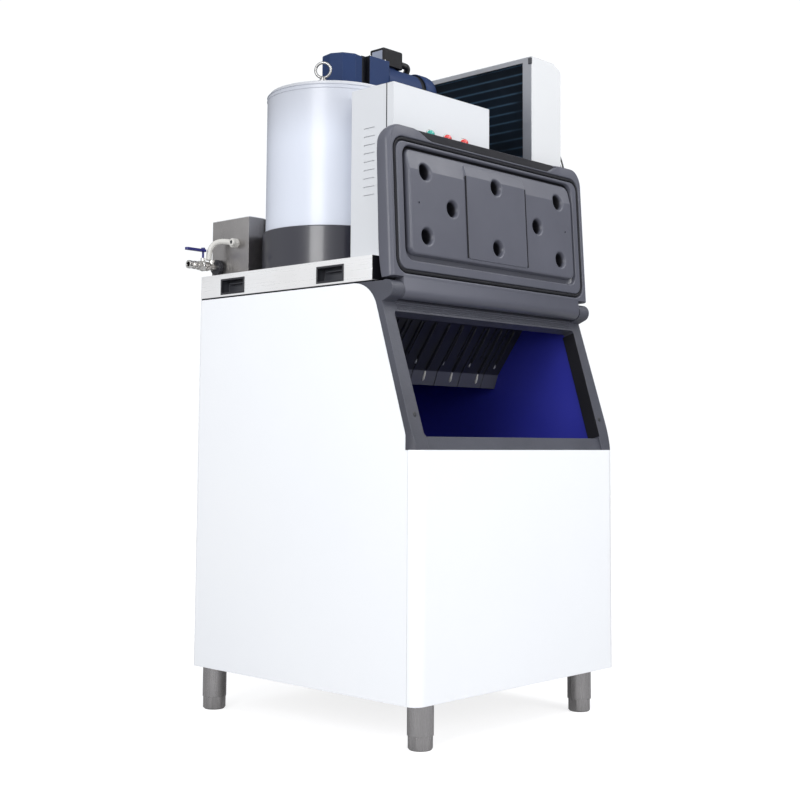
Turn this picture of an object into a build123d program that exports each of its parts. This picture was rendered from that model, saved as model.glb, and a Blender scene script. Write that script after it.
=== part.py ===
from build123d import *
import math
import os

# Flake ice machine: an insulated ice bin with a tilted door, and an ice-making
# unit on a stainless tray above it. Millimetres, +Z up, the front faces -Y.
# All places are written from the middle of the bin on the floor.

# Bin cabinet
bin_width = 760.0
bin_depth = 772.0
bin_height = 936.0
leg_height = 107.0
skin = 1.5
front_corner_radius = 28.0
rear_corner_radius = 4.0
front_panel_height = 553.5
panel_seam = 0.6
sheet_gap = 0.1
liner_wall = 3.0
side_insulation = 25.5
front_insulation = 34.0
rear_insulation = 35.0
floor_insulation = 42.0
roof_insulation = 38.0

# Tilted door frame, measured along and square to its slope from the hinge axis
frame_slope = 17.44
hinge_inset = 98.0
hinge_height = 917.0
frame_stand_off = 20.5
frame_thickness = 18.0
frame_member_width = 40.0
frame_heel_radius = 78.0
frame_foot_depth = 34.5
frame_foot_height = 33.0
ear_radius = 21.0
ear_drop = 23.0
window_top = 44.0
window_bottom = 341.5
window_top_side = 34.0
window_bottom_side = 41.0
window_corner_radius = 8.0
window_lip = 13.0
window_lip_wall = 3.0
sill_set_back = 6.5
fit_gap = 0.6

# Door, drawn along its inner face from the hinge axis
door_lean = 3.09
door_length = 387.0
door_start = 27.0
door_face = 19.0
door_corner_radius = 46.0
roll_radius = 20.6
roll_gap = 1.6
channel_radius = 23.0
hinge_pin_radius = 5.0
hinge_pin_length = 62.0
pin_clearance = 0.08
seal_groove_side = 24.0
seal_groove_low = 68.0
seal_groove_high = 350.0
seal_groove_width = 12.0
seal_groove_depth = 6.0
seal_proud = 0.8
well_side = 50.0
well_low = 77.0
well_high = 342.0
well_depth = 9.0
plug_side = 64.0
plug_low = 86.0
plug_high = 335.0
plug_rise = 6.0
plug_draft = 24.0
middle_panel_half_width = 115.0
middle_panel_rise = 2.2
dimple_radius = 21.5
dimple_tip_radius = 13.0
dimple_depth = 24.0
dimple_outer_side = 121.0
dimple_inner_side = 214.0
dimple_high = 283.5
dimple_middle = 207.0
dimple_low = 130.0
key_hole_side = 95.0
key_hole_radius = 2.6
grip_side = 95.0
grip_slant = 55.0
grip_run = 30.0
grip_depth = 11.0

# Ice baffle behind the opening
baffle_top_run = 172.0
baffle_bend_run = 266.0
baffle_bend_height = 759.0
baffle_foot_run = 280.0
baffle_foot_height = 721.0
baffle_sheet = 4.0
baffle_rib_pitch = 48.0
baffle_rib_width = 5.0
baffle_rib_height = 5.0
baffle_rib_count = 13

# Legs and levelling feet
leg_radius = 30.0
leg_tube_wall = 1.5
leg_flange_radius = 33.0
leg_flange_thickness = 3.0
front_leg_inset = 59.0
front_leg_side = 80.0
rear_leg_inset = 35.5
rear_leg_side = 42.0
foot_height = 31.0
foot_radius = 28.5
foot_flat_reach = 26.5
foot_chamfer = 4.0
foot_stud_radius = 8.0
foot_stud_length = 70.0
leg_bush_thickness = 14.0
thread_clearance = 0.1

# Stainless base tray
tray_gasket_thickness = 4.0
tray_gasket_width = 22.0
tray_height = 58.0
tray_front_inset = 143.0
tray_sheet = 2.0
tray_return = 14.0
tray_corner_radius = 4.0
slot_width = 90.0
slot_height = 37.0
slot_rear_inset = 130.0
slot_front_inset = 139.0
slot_sill = 6.5

# Ice drum
drum_side = 182.0
drum_run = 325.0
drum_radius = 170.0
drum_head_room = 28.0
drum_shell_wall = 1.5
drum_rim_width = 22.0
drum_base_radius = 178.0
drum_base_height = 99.0
drum_base_flange = 8.0
drum_base_lip = 10.0
drum_fit = 0.3
freezer_radius = 130.0
freezer_wall = 6.0
freezer_height = 418.0
freezer_rib_radius = 147.0
freezer_rib_thickness = 6.0
freezer_rib_count = 9
lid_radius = 165.0
lid_thickness = 8.0
chute_radius = 137.0
chute_gap = 2.0

# Drive shaft, ice cutter and water pan
shaft_radius = 15.0
shaft_bottom_gap = 8.0
shaft_clearance = 0.05
cutter_arm_length = 100.0
cutter_arm_height = 14.0
cutter_arm_width = 26.0
cutter_back_thickness = 12.0
cutter_back_width = 34.0
cutter_ice_gap = 2.0
cutter_tooth_count = 15
cutter_tooth_angle = 30.0
cutter_tooth_thickness = 6.0
water_pan_radius = 98.0
water_pan_height = 26.0
water_pan_wall = 2.0
spray_tube_radius = 4.0
spray_tube_count = 6
spray_tube_end_gap = 8.0
spider_arm_count = 3
spider_arm_width = 16.0
spider_hub_radius = 32.0
spider_height = 26.0
spider_floor = 4.0
bearing_radius = 24.0
bearing_height = 20.0

# Gear housing and motor on the lid
gear_flange_radius = 74.0
gear_flange_thickness = 8.0
tower_offset = 33.0
tower_radius = 56.0
tower_sides = 10
tower_height = 104.0
gear_block_start = 49.0
gear_block_length = 74.0
gear_block_half_depth = 50.0
gear_block_height = 112.0
motor_axis_height = 64.0
motor_radius = 54.0
motor_length = 137.0
motor_ring_radius = 50.5
motor_ring_length = 13.0
cowl_radius = 60.0
cowl_length = 81.0
cowl_edge_radius = 16.0
terminal_box_width = 77.0
terminal_box_depth = 54.0
terminal_box_height = 47.0
terminal_box_gap = 0.6
terminal_box_neck = 34.0
terminal_box_offset = 1.5
conduit_radius = 6.5
conduit_exit = 20.0
conduit_swing = 72.0
conduit_gap = 8.0
conduit_dip = 26.0
conduit_fall = 250.0
conduit_drop = 330.0
conduit_entry_inset = 22.0
conduit_elbow_run = 60.0
gland_radius = 9.0
gland_length = 12.0
lifting_eye_radius = 22.5
lifting_eye_hole_radius = 15.5
lifting_eye_stem_radius = 7.0
lifting_eye_collar_radius = 11.0
lifting_eye_ring_height = 30.0
lifting_eye_bearing = -144.0
lifting_eye_reach = 146.0

# Control box
control_side = 68.0
control_width = 353.0
control_height = 420.0
control_depth = 140.0
control_cover_depth = 22.0
control_seam = 1.4
louvre_count = 9
louvre_length = 35.0
louvre_height = 2.4
louvre_pitch = 20.3
louvre_rear_inset = 43.0
louvre_top_drop = 100.0
lamp_radius = 11.5
lamp_collar_radius = 14.0
lamp_collar_height = 4.0
lamp_height = 12.0
lamp_stem_radius = 8.0
lamp_stem_length = 26.0
lamp_drop = 101.0
lamp_first_run = 125.5
lamp_pitch = 62.5

# Condenser unit
condenser_side = 34.0
condenser_width = 127.0
condenser_length = 450.0
condenser_height = 600.0
shoulder_run = 34.0
shoulder_drop = 17.0
shoulder_radius = 10.0
shroud_sheet = 1.5
coil_frame_depth = 7.0
coil_frame_post = 30.0
coil_frame_head = 13.0
coil_depth = 44.0
coil_tube_radius = 5.0
coil_tube_pitch = 25.0
coil_tube_rows = 22
coil_bend_count = 11
fan_run = 225.0
fan_height = 279.0
fan_opening_radius = 200.0
fan_radius = 188.0
fan_hub_radius = 50.0
fan_hub_length = 40.0
fan_blade_count = 5
fan_blade_chord = 112.0
fan_blade_pitch = 24.0
fan_blade_thickness = 3.0
fan_motor_radius = 44.0
fan_motor_length = 38.0
fan_shaft_radius = 6.0
guard_radius = 215.0
guard_depth = 50.0
guard_wire = 3.2
guard_ring_count = 7
guard_spoke_count = 8
guard_hub_radius = 48.0
guard_side = [(0.0, 0.0), (1.0, 18.0), (6.0, 34.0), (17.0, 46.0), (32.0, 50.0)]

# Compressor and receiver
compressor_side = 114.0
compressor_run = 30.0
compressor_radius = 88.0
compressor_height = 262.0
compressor_foot_half_width = 96.0
compressor_foot_height = 22.0
receiver_side = 71.0
receiver_run = 89.0
receiver_radius = 46.0
receiver_height = 270.0
suction_pipe_radius = 8.0
gas_pipe_radius = 5.0
liquid_pipe_radius = 4.0

# Water tank, valve and pump
tank_side = 30.0
tank_rear_inset = 8.0
tank_width = 115.0
tank_front_width = 50.0
tank_height = 147.0
tank_sheet = 1.5
tank_drum_gap = 2.8
tank_lid_sheet = 1.5
inlet_inset = 28.0
inlet_height = 24.0
inlet_bore_radius = 5.5
bulkhead_radius = 19.0
bulkhead_length = 12.0
inner_nut_radius = 14.0
inner_nut_length = 8.0
tee_radius = 9.0
tee_length = 24.0
valve_nut_radius = 11.0
valve_length = 34.0
valve_bulge_radius = 14.0
nipple_length = 30.0
nipple_radius = 8.8
nipple_bore_radius = 6.5
nipple_ring_radius = 10.8
valve_ball_radius = 9.0
valve_stem_radius = 3.0
stem_height = 37.0
lever_length = 56.0
lever_width = 12.0
lever_thickness = 6.5
hose_radius = 7.5
hose_rise = 10.0
float_inset = 98.0
float_height = 82.0
float_ring_radius = 12.0
float_arm_length = 62.0
float_arm_radius = 2.0
float_ball_radius = 15.0
float_drop = 16.0
pump_radius = 24.0
pump_height = 78.0
pump_side = 37.0
pump_inset = 48.0
supply_pipe_radius = 6.0
supply_side = 38.0
supply_inset = 44.0
supply_reach = 77.0
supply_height = 31.0

# Levels and edges that follow from the sizes above
half_width = bin_width / 2
half_depth = bin_depth / 2
bin_top = leg_height + bin_height
front_panel_top = leg_height + front_panel_height
hinge_y = -half_depth + hinge_inset
hinge_z = leg_height + hinge_height
window_top_half_width = half_width - window_top_side
window_bottom_half_width = half_width - window_bottom_side
seal_groove_half_width = half_width - seal_groove_side
well_half_width = half_width - well_side
plug_half_width = half_width - plug_side
dimple_outer_x = half_width - dimple_outer_side
dimple_inner_x = half_width - dimple_inner_side
key_hole_x = half_width - key_hole_side
grip_half_width = half_width - grip_side
baffle_top_y = hinge_y + baffle_top_run
baffle_bend_y = hinge_y + baffle_bend_run
baffle_bend_z = leg_height + baffle_bend_height
baffle_foot_y = hinge_y + baffle_foot_run
baffle_foot_z = leg_height + baffle_foot_height
tray_front_y = -half_depth + tray_front_inset
tray_rear_y = half_depth
slot_rear_y = tray_rear_y - slot_rear_inset
slot_front_y = tray_front_y + slot_front_inset
tray_bottom = bin_top + tray_gasket_thickness
tray_top = tray_bottom + tray_height
liner_half_width = half_width - skin - side_insulation - liner_wall
liner_front = -half_depth + skin + front_insulation + liner_wall
liner_rear = half_depth - skin - rear_insulation - liner_wall
liner_floor = leg_height + skin + floor_insulation + liner_wall
liner_roof = bin_top - skin - roof_insulation - liner_wall
side_seam_y = -half_depth + front_corner_radius
rear_seam_y = half_depth - rear_corner_radius
slope = math.radians(frame_slope)
lean = math.radians(door_lean)
frame_back = frame_stand_off + frame_thickness
drum_x = -half_width + drum_side
drum_y = tray_front_y + drum_run
freezer_bottom = tray_top + drum_base_flange
freezer_top = freezer_bottom + freezer_height
drum_top = freezer_top + drum_head_room
lid_top = drum_top + lid_thickness
gear_base = lid_top + gear_flange_thickness
motor_axis_z = lid_top + motor_axis_height
tower_x = drum_x + tower_offset
gear_block_x = tower_x + gear_block_start
motor_x = gear_block_x + gear_block_length
condenser_front_y = tray_front_y
condenser_x = half_width - condenser_side - condenser_width
condenser_top = tray_top + condenser_height
condenser_rear_y = condenser_front_y + condenser_length
condenser_right_x = condenser_x + condenser_width
fan_y = condenser_front_y + fan_run
fan_z = tray_top + fan_height
compressor_x = condenser_x - compressor_side
compressor_y = drum_y + compressor_run
receiver_x = condenser_x + receiver_side
receiver_y = condenser_rear_y + receiver_run
control_left_x = -half_width + control_side
control_right_x = control_left_x + control_width
lamp_first_x = control_left_x + lamp_first_run
control_top = tray_top + control_height
control_front_y = tray_front_y
control_rear_y = control_front_y + control_depth
control_split_y = control_front_y + control_cover_depth
louvre_rear_y = control_rear_y - louvre_rear_inset
tank_left_x = -half_width + tank_side
tank_right_x = tank_left_x + tank_width
tank_rear_y = tray_rear_y - tank_rear_inset
tank_top = tray_top + tank_height
tank_corner_x = tank_left_x + tank_front_width
tank_drum_reach = drum_base_radius + tank_drum_gap
tank_front_y = drum_y + math.sqrt(tank_drum_reach ** 2 - (tank_corner_x - drum_x) ** 2)
inlet_y = tank_rear_y - inlet_inset
inlet_z = tray_top + inlet_height
float_y = tank_rear_y - float_inset
float_z = tray_top + float_height
pump_x = tank_right_x - pump_side
pump_y = tank_rear_y - pump_inset
supply_run_x = drum_x + supply_side
supply_run_y = tank_rear_y - supply_inset
supply_drop_y = drum_y + supply_reach
supply_z = lid_top + supply_height
valve_start = tank_left_x - bulkhead_length
tee_start = valve_start - tee_length
valve_end = tee_start - valve_length
nipple_end = valve_end - nipple_length
stem_x = tee_start - valve_length / 2
lever_end = stem_x - lever_length
guard_end = condenser_right_x + guard_depth

# The row's own origin stands under the middle of the whole machine
origin_x = (min(lever_end, nipple_end) + guard_end) / 2


def block(x0, x1, y0, y1, z0, z1):
    middle = Pos((x0 + x1) / 2, (y0 + y1) / 2, (z0 + z1) / 2)
    return middle * Box(x1 - x0, y1 - y0, z1 - z0)


def rod(x, y, z0, z1, radius):
    return Pos(x, y, (z0 + z1) / 2) * Cylinder(radius, z1 - z0)


def rod_x(x0, x1, y, z, radius):
    return Pos((x0 + x1) / 2, y, z) * Rot(0, 90, 0) * Cylinder(radius, x1 - x0)


def polygon(points):
    return make_face(Polyline(*points, close=True))


def side_prism(outline, x0, x1):
    """A flat outline in Y and Z, as thick as x0 to x1."""
    return extrude(Plane.YZ.offset(x0) * outline, x1 - x0)


def plan_prism(outline, z0, z1):
    return extrude(Plane.XY.offset(z0) * outline, z1 - z0)


def placed(shape):
    """A part's solids, moved from the bin's middle to the row's own origin."""
    solids = [Pos(-origin_x, 0, 0) * solid for solid in shape.solids()]
    return solids[0] if len(solids) == 1 else Compound(children=solids)


def ring(outer, inner, z0, z1, x=0.0, y=0.0):
    return rod(x, y, z0, z1, outer) - rod(x, y, z0 - 1, z1 + 1, inner)


def slope_point(along, off):
    """Y and Z of a point down the door slope, and off it towards the front."""
    y = hinge_y - along * math.sin(slope) - off * math.cos(slope)
    z = hinge_z - along * math.cos(slope) + off * math.sin(slope)
    return y, z


def slope_at_height(z, off):
    """Y of the slope's parallel at a height."""
    along = (hinge_z + off * math.sin(slope) - z) / math.cos(slope)
    return slope_point(along, off)[0]


frame_plane = Plane(origin=(0, hinge_y, hinge_z), x_dir=(1, 0, 0),
                    z_dir=(0, -math.cos(slope), math.sin(slope)))
door_plane = Plane(origin=(0, hinge_y, hinge_z), x_dir=(1, 0, 0),
                   z_dir=(0, -math.cos(lean), math.sin(lean)))


def cabinet_plan(inset):
    """Outline of the cabinet from above, with its four rounded corners."""
    rectangle = Rectangle(bin_width - 2 * inset, bin_depth - 2 * inset)
    front = rectangle.vertices().filter_by(lambda v: v.Y < 0)
    rounded = fillet(front, front_corner_radius - inset)
    rear = rounded.vertices().filter_by(lambda v: v.Y > half_depth - inset - 1)
    return fillet(rear, rear_corner_radius - inset)


def frame_outline(grow=0.0):
    """Side view of the frame's end member, with its ear and curved heel."""
    back = frame_back + grow
    top_y = slope_at_height(bin_top, -back)
    foot_top = front_panel_top + frame_foot_height
    foot_y = slope_at_height(foot_top, -back)
    front_y = slope_at_height(front_panel_top, -frame_stand_off)
    low = front_panel_top - grow
    reach = frame_heel_radius * math.tan((math.pi / 2 - slope) / 2)
    centre = (top_y + reach, bin_top - frame_heel_radius)
    touch = (top_y - reach * math.sin(slope), bin_top - reach * math.cos(slope))
    heel = polygon([(top_y, bin_top), (centre[0], bin_top), centre, touch])
    heel -= Pos(*centre) * Circle(frame_heel_radius)
    outline = polygon([(centre[0] - reach, bin_top), (foot_y, foot_top), (foot_y, low),
                       (front_y, low), slope_point(ear_drop, -frame_stand_off),
                       (hinge_y, hinge_z), (hinge_y, bin_top)])
    return outline + heel


def ear_outline():
    """The ear's round nose, closed down to the top of the slope."""
    notch = slope_point(ear_drop, -frame_stand_off)
    reach = math.hypot(notch[0] - hinge_y, notch[1] - hinge_z)
    turn = math.atan2(notch[1] - hinge_z, notch[0] - hinge_y) - math.acos(ear_radius / reach)
    touch = (hinge_y + ear_radius * math.cos(turn), hinge_z + ear_radius * math.sin(turn))
    nose = Pos(hinge_y, hinge_z) * Circle(ear_radius)
    return nose + polygon([(hinge_y, hinge_z), touch, notch])


def window(grow, off0, off1):
    """Prism through the frame's opening, square to its slope."""
    top_half = window_top_half_width + grow
    low_half = window_bottom_half_width + grow
    face = polygon([(-top_half, grow - window_top), (top_half, grow - window_top),
                    (low_half, -window_bottom - grow), (-low_half, -window_bottom - grow)])
    face = fillet(face.vertices(), window_corner_radius + grow)
    return extrude(frame_plane.offset(off0) * face, off1 - off0)


def door_frame():
    plan = plan_prism(cabinet_plan(0), front_panel_top - 1, bin_top + ear_radius)
    body = side_prism(frame_outline(), -half_width, half_width)
    inner = half_width - frame_member_width
    for side in (-1, 1):
        edges = sorted((side * inner, side * half_width))
        body += side_prism(ear_outline(), *edges)
    above = extrude(frame_plane.offset(-frame_stand_off)
                    * Pos(0, 60) * Rectangle(2 * inner, 240), 90)
    body -= above & block(-inner, inner, hinge_y - 80, hinge_y + 60, hinge_z - 80, bin_top + 60)
    body -= rod_x(-inner, inner, hinge_y, hinge_z, channel_radius)
    body -= window(0, -frame_back - 60, 30)
    lip = window(window_lip_wall, -frame_back - window_lip, -frame_back)
    lip -= window(0, -frame_back - window_lip - 1, -frame_back + 1)
    body += lip
    sill_top = -window_bottom - 4
    sill = Rectangle(2 * window_bottom_half_width - 10, 80, align=(Align.CENTER, Align.MAX))
    cut = extrude(frame_plane.offset(-frame_stand_off - sill_set_back)
                  * Pos(0, sill_top + 6) * sill, 40)
    body -= cut
    for groove in range(3):
        along = window_top - 6 - 5 * groove
        line = Pos(0, -along) * Rectangle(2 * inner - 8, 2)
        body -= extrude(frame_plane.offset(-frame_stand_off - 1.4) * line, 10)
    for side in (-1, 1):
        x0, x1 = sorted((side * (inner - 1), side * (inner + hinge_pin_length / 2)))
        body -= rod_x(x0, x1, hinge_y, hinge_z, hinge_pin_radius)
    return body & plan


def hinge_pins():
    inner = half_width - frame_member_width
    pins = []
    for side in (-1, 1):
        ends = sorted((side * (inner - hinge_pin_length / 2), side * (inner + hinge_pin_length / 2)))
        pins.append(rod_x(ends[0], ends[1], hinge_y, hinge_z, hinge_pin_radius))
    return Compound(children=[pin.solid() for pin in pins])


def rounded_ring(half_x, low, high, width, radius):
    """A rounded rectangular band in the door's face, by its centre line."""
    middle = (low + high) / 2
    outer = RectangleRounded(2 * half_x + width, high - low + width, radius + width / 2)
    inner = RectangleRounded(2 * half_x - width, high - low - width, radius - width / 2)
    return Pos(0, middle) * (outer - inner)


def door_section():
    """Section through the door: flat inner face, crowned skin, thin free edge."""
    bulge = ThreePointArc((door_start, -14.0), (60.0, -19.4), (110.0, -21.5))
    back = Line((110.0, -21.5), (300.0, -18.0))
    edge = ThreePointArc((300.0, -18.0), (door_length - 35.0, -14.5), (door_length - 2.0, 2.0))
    tip = Polyline((door_length - 2.0, 2.0), (door_length, 6.0), (door_length, door_face - 3.0))
    brow = ThreePointArc((door_length, door_face - 3.0), (door_length - 1.0, door_face - 1.0),
                         (door_length - 3.0, door_face))
    face = Line((door_length - 3.0, door_face), (door_start, door_face))
    heel = Line((door_start, door_face), (door_start, -14.0))
    return make_face([bulge, back, edge, tip, brow, face, heel])


def plug_panel():
    """Raised panel inside the door, drafted, with a long bevel at its free edge."""
    base = Pos(0, (plug_low + plug_high) / 2) * RectangleRounded(
        2 * plug_half_width, plug_high - plug_low, 20)
    floor = door_face - well_depth
    top = door_face + plug_rise
    panel = extrude(Plane.XY.offset(floor) * base, top - floor, taper=plug_draft)
    bevel = polygon([(dimple_high + 2, top), (plug_high + 1, top - 12), (plug_high + 1, top + 9),
                     (dimple_high + 2, top + 9)])
    panel -= side_prism(bevel, -half_width, half_width)
    raised_low = plug_low + 8
    raised = Pos(0, (raised_low + plug_high - 12) / 2) * RectangleRounded(
        2 * middle_panel_half_width, plug_high - 12 - raised_low, 6)
    pad = extrude(Plane.XY.offset(floor + 1) * raised, top + middle_panel_rise - floor - 1)
    pad_top = top + middle_panel_rise
    pad_bevel = polygon([(dimple_high + 13, pad_top), (plug_high, pad_top - 12.5),
                         (plug_high, pad_top + 9), (dimple_high + 13, pad_top + 9)])
    pad -= side_prism(pad_bevel, -half_width, half_width)
    return panel + pad


def door():
    outline = Pos(0, (door_start + door_length) / 2) * Rectangle(
        bin_width, door_length - door_start)
    high = outline.vertices().filter_by(lambda v: v.Y > door_start + 1)
    outline = fillet(high, door_corner_radius)
    body = side_prism(door_section(), -half_width, half_width)
    body &= extrude(Plane.XY.offset(-60) * outline, 120)
    inner = half_width - frame_member_width - roll_gap
    web = polygon([(0, door_face), (door_start + 4, door_face), (door_start + 4, -10), (0, -10)])
    body += side_prism(web, -inner, inner)
    body += rod_x(-inner, inner, 0, 0, roll_radius)
    well = Pos(0, (well_low + well_high) / 2) * RectangleRounded(
        2 * well_half_width, well_high - well_low, 28)
    body -= extrude(Plane.XY.offset(door_face - well_depth) * well, well_depth + 1)
    body += plug_panel()
    groove = rounded_ring(seal_groove_half_width, seal_groove_low, seal_groove_high,
                          seal_groove_width, 28)
    body -= extrude(Plane.XY.offset(door_face - seal_groove_depth) * groove, seal_groove_depth + 1)
    for x, along in dimple_places():
        depth = Plane.XY.offset(door_face + plug_rise - dimple_depth)
        body -= depth * Pos(x, along) * Cone(dimple_tip_radius, dimple_radius + 1.5,
                                             dimple_depth + 4,
                                             align=(Align.CENTER, Align.CENTER, Align.MIN))
    for side in (-1, 1):
        body -= rod(side * key_hole_x, dimple_middle, door_face - 6, door_face + plug_rise + 1,
                    key_hole_radius)
    wedge = polygon([(door_length - grip_run, door_face + 1), (door_length - grip_run, door_face),
                     (door_length + 1, door_face - grip_depth), (door_length + 1, door_face + 1)])
    inner_grip = grip_half_width - grip_slant
    grip = polygon([(-grip_half_width, door_length + 2), (-inner_grip, door_length - grip_run - 2),
                    (inner_grip, door_length - grip_run - 2), (grip_half_width, door_length + 2)])
    body -= side_prism(wedge, -half_width, half_width) & extrude(Plane.XY.offset(-30) * grip, 90)
    for side in (-1, 1):
        x0, x1 = sorted((side * (inner - hinge_pin_length / 2), side * (inner + 1)))
        body -= rod_x(x0, x1, 0, 0, hinge_pin_radius + pin_clearance)
    return Location(door_plane) * body


def dimple_places():
    outer = [(side * dimple_outer_x, row) for side in (-1, 1) for row in (dimple_low, dimple_high)]
    inner = [(side * dimple_inner_x, dimple_middle) for side in (-1, 1)]
    middle = [(0.0, dimple_low), (0.0, dimple_high)]
    return outer + inner + middle


def door_gasket():
    """Soft seal pressed into the door's outer groove."""
    seat = door_face - seal_groove_depth
    band = rounded_ring(seal_groove_half_width, seal_groove_low, seal_groove_high,
                        seal_groove_width - 1.0, 28)
    crown = rounded_ring(seal_groove_half_width, seal_groove_low, seal_groove_high,
                         seal_groove_width - 6.0, 28)
    body = extrude(Plane.XY.offset(seat) * band, seal_groove_depth - 2)
    body += extrude(Plane.XY.offset(seat) * crown, seal_groove_depth + seal_proud)
    return Location(door_plane) * body


def cabinet_skin():
    outer = plan_prism(cabinet_plan(0), leg_height, bin_top)
    return outer - plan_prism(cabinet_plan(skin), leg_height - 1, bin_top + 1)


def front_panel():
    sheet = cabinet_skin() & block(-half_width - 1, half_width + 1, -half_depth - 1,
                                   side_seam_y - panel_seam, leg_height, front_panel_top)
    edge = plan_prism(cabinet_plan(skin), front_panel_top - skin, front_panel_top)
    rear = -half_depth + skin + frame_foot_depth / 3
    rear = min(rear, side_seam_y - panel_seam)
    return sheet + (edge & block(-half_width, half_width, -half_depth, rear, leg_height,
                                 front_panel_top))


def side_panel(side):
    x0, x1 = sorted((side * (half_width - 60), side * (half_width + 1)))
    sheet = cabinet_skin() & block(x0, x1, side_seam_y, rear_seam_y - panel_seam,
                                   leg_height, bin_top)
    sheet -= side_prism(frame_outline(panel_seam), x0, x1)
    low = front_panel_top - panel_seam
    middle = -frame_stand_off - frame_thickness / 2
    head_y, head_z = slope_point(0, middle)
    before = polygon([(slope_at_height(low, middle), low), (-half_depth - 10, low),
                      (-half_depth - 10, bin_top + 1), (head_y, bin_top + 1),
                      (head_y, head_z)])
    return sheet - side_prism(before, x0, x1)


def back_panel():
    return cabinet_skin() & block(-half_width - 1, half_width + 1, rear_seam_y, half_depth + 1,
                                  leg_height, bin_top)


def floor_pan():
    return plan_prism(cabinet_plan(skin + sheet_gap), leg_height, leg_height + skin)


def roof_front():
    """Where the roof sheet starts, behind the frame's curved heel."""
    top_y = slope_at_height(bin_top, -frame_back)
    return top_y + frame_heel_radius + panel_seam


def top_deck():
    sheet = plan_prism(cabinet_plan(skin), bin_top - skin, bin_top)
    sheet &= block(-half_width, half_width, roof_front(), half_depth, bin_top - 20, bin_top + 1)
    hole = chute_radius + liner_wall + chute_gap
    return sheet - rod(drum_x, drum_y, bin_top - 20, bin_top + 1, hole)


def liner_outline(grow):
    """Side view of the ice space, open along the door slope."""
    front = liner_front - grow
    rear = liner_rear + grow
    low = liner_floor - grow
    roof = liner_roof + grow
    off = -frame_back - panel_seam
    top = slope_at_height(roof, off)
    along = (hinge_y - off * math.cos(slope) - front) / math.sin(slope)
    elbow = slope_point(along, off)
    return polygon([(front, low), (rear, low), (rear, roof), (top, roof), elbow])


def bin_liner():
    """One moulded tub with the neck that leads the ice down from the drum."""
    outer = side_prism(liner_outline(liner_wall), -liner_half_width - liner_wall,
                       liner_half_width + liner_wall)
    neck_top = tray_top - 1
    body = outer + rod(drum_x, drum_y, liner_roof, neck_top, chute_radius + liner_wall)
    inside = side_prism(liner_outline(0), -liner_half_width, liner_half_width)
    low_y = slope_point(window_bottom, -frame_back)[0] - 90
    mouth = block(-liner_half_width, liner_half_width, low_y, liner_front + 200, front_panel_top,
                  liner_roof)
    open_side = extrude(frame_plane.offset(-frame_back - liner_wall * 2)
                        * Pos(0, -window_bottom / 2)
                        * Rectangle(2 * liner_half_width, 2 * window_bottom), 90)
    body -= inside
    body -= mouth & open_side
    body -= side_prism(frame_outline(panel_seam), -half_width, half_width)
    body -= rod(drum_x, drum_y, liner_roof - 5, neck_top + 1, chute_radius)
    return body - window(window_lip_wall + fit_gap, -frame_back - window_lip - fit_gap, 0)


def bin_insulation():
    """Foam that fills the space between the skin and the liner."""
    foam = plan_prism(cabinet_plan(skin + sheet_gap), leg_height + skin, bin_top - skin)
    foam -= side_prism(frame_outline(panel_seam), -half_width, half_width)
    front = extrude(frame_plane.offset(-frame_back + 0.1)
                    * Rectangle(bin_width, 1100), 200)
    over = block(-half_width, half_width, -half_depth, half_depth, front_panel_top - skin, bin_top)
    foam -= front & over
    foam -= block(-half_width, half_width, -half_depth, side_seam_y + 10,
                  front_panel_top - skin, bin_top)
    foam -= side_prism(liner_outline(liner_wall), -liner_half_width - liner_wall,
                       liner_half_width + liner_wall)
    foam -= rod(drum_x, drum_y, liner_roof, bin_top, chute_radius + liner_wall + drum_fit)
    for x, y in leg_places():
        foam -= rod(x, y, leg_height, leg_height + skin + leg_flange_thickness, leg_flange_radius)
    return foam - window(window_lip_wall + fit_gap, -frame_back - window_lip - fit_gap, 40)


def ice_baffle():
    """Ribbed deflector that hangs from the roof and sends the ice to the back."""
    lean_y = baffle_bend_y - baffle_top_y
    lean_z = liner_roof - baffle_bend_z
    length = math.hypot(lean_y, lean_z)
    across = (lean_z / length * baffle_sheet, lean_y / length * baffle_sheet)
    profile = polygon([
        (baffle_top_y - 24, liner_roof), (baffle_top_y + across[0], liner_roof),
        (baffle_bend_y + baffle_sheet, baffle_bend_z + across[1] / 2),
        (baffle_foot_y + baffle_sheet, baffle_foot_z), (baffle_foot_y, baffle_foot_z),
        (baffle_bend_y, baffle_bend_z), (baffle_top_y, liner_roof - baffle_sheet),
        (baffle_top_y - 24, liner_roof - baffle_sheet)])
    reach = liner_half_width - fit_gap
    body = side_prism(profile, -reach, reach)
    first = -(baffle_rib_count - 1) * baffle_rib_pitch / 2
    for rib in range(baffle_rib_count):
        x = first + rib * baffle_rib_pitch
        share = 1.0 if rib % 2 == 0 else 0.72
        end_y = baffle_top_y + lean_y * share
        end_z = liner_roof - lean_z * share
        start = (baffle_top_y + lean_y * 0.12, liner_roof - lean_z * 0.12)
        out = (-lean_z / length * baffle_rib_height, -lean_y / length * baffle_rib_height)
        fin = polygon([start, (end_y, end_z), (end_y + out[0] * 0.6, end_z + out[1] * 0.6),
                       (start[0] + out[0], start[1] + out[1])])
        body += side_prism(fin, x - baffle_rib_width / 2, x + baffle_rib_width / 2)
        if share == 1.0:
            lip = polygon([(baffle_bend_y, baffle_bend_z), (baffle_foot_y, baffle_foot_z),
                           (baffle_foot_y - 3, baffle_foot_z),
                           (end_y + out[0] * 0.6, end_z + out[1] * 0.6)])
            body += side_prism(lip, x - baffle_rib_width / 2, x + baffle_rib_width / 2)
    return body


def leg_places():
    front_x = half_width - front_leg_side
    rear_x = half_width - rear_leg_side
    front = -half_depth + front_leg_inset
    rear = half_depth - rear_leg_inset
    return [(-front_x, front), (front_x, front), (-rear_x, rear), (rear_x, rear)]


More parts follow.
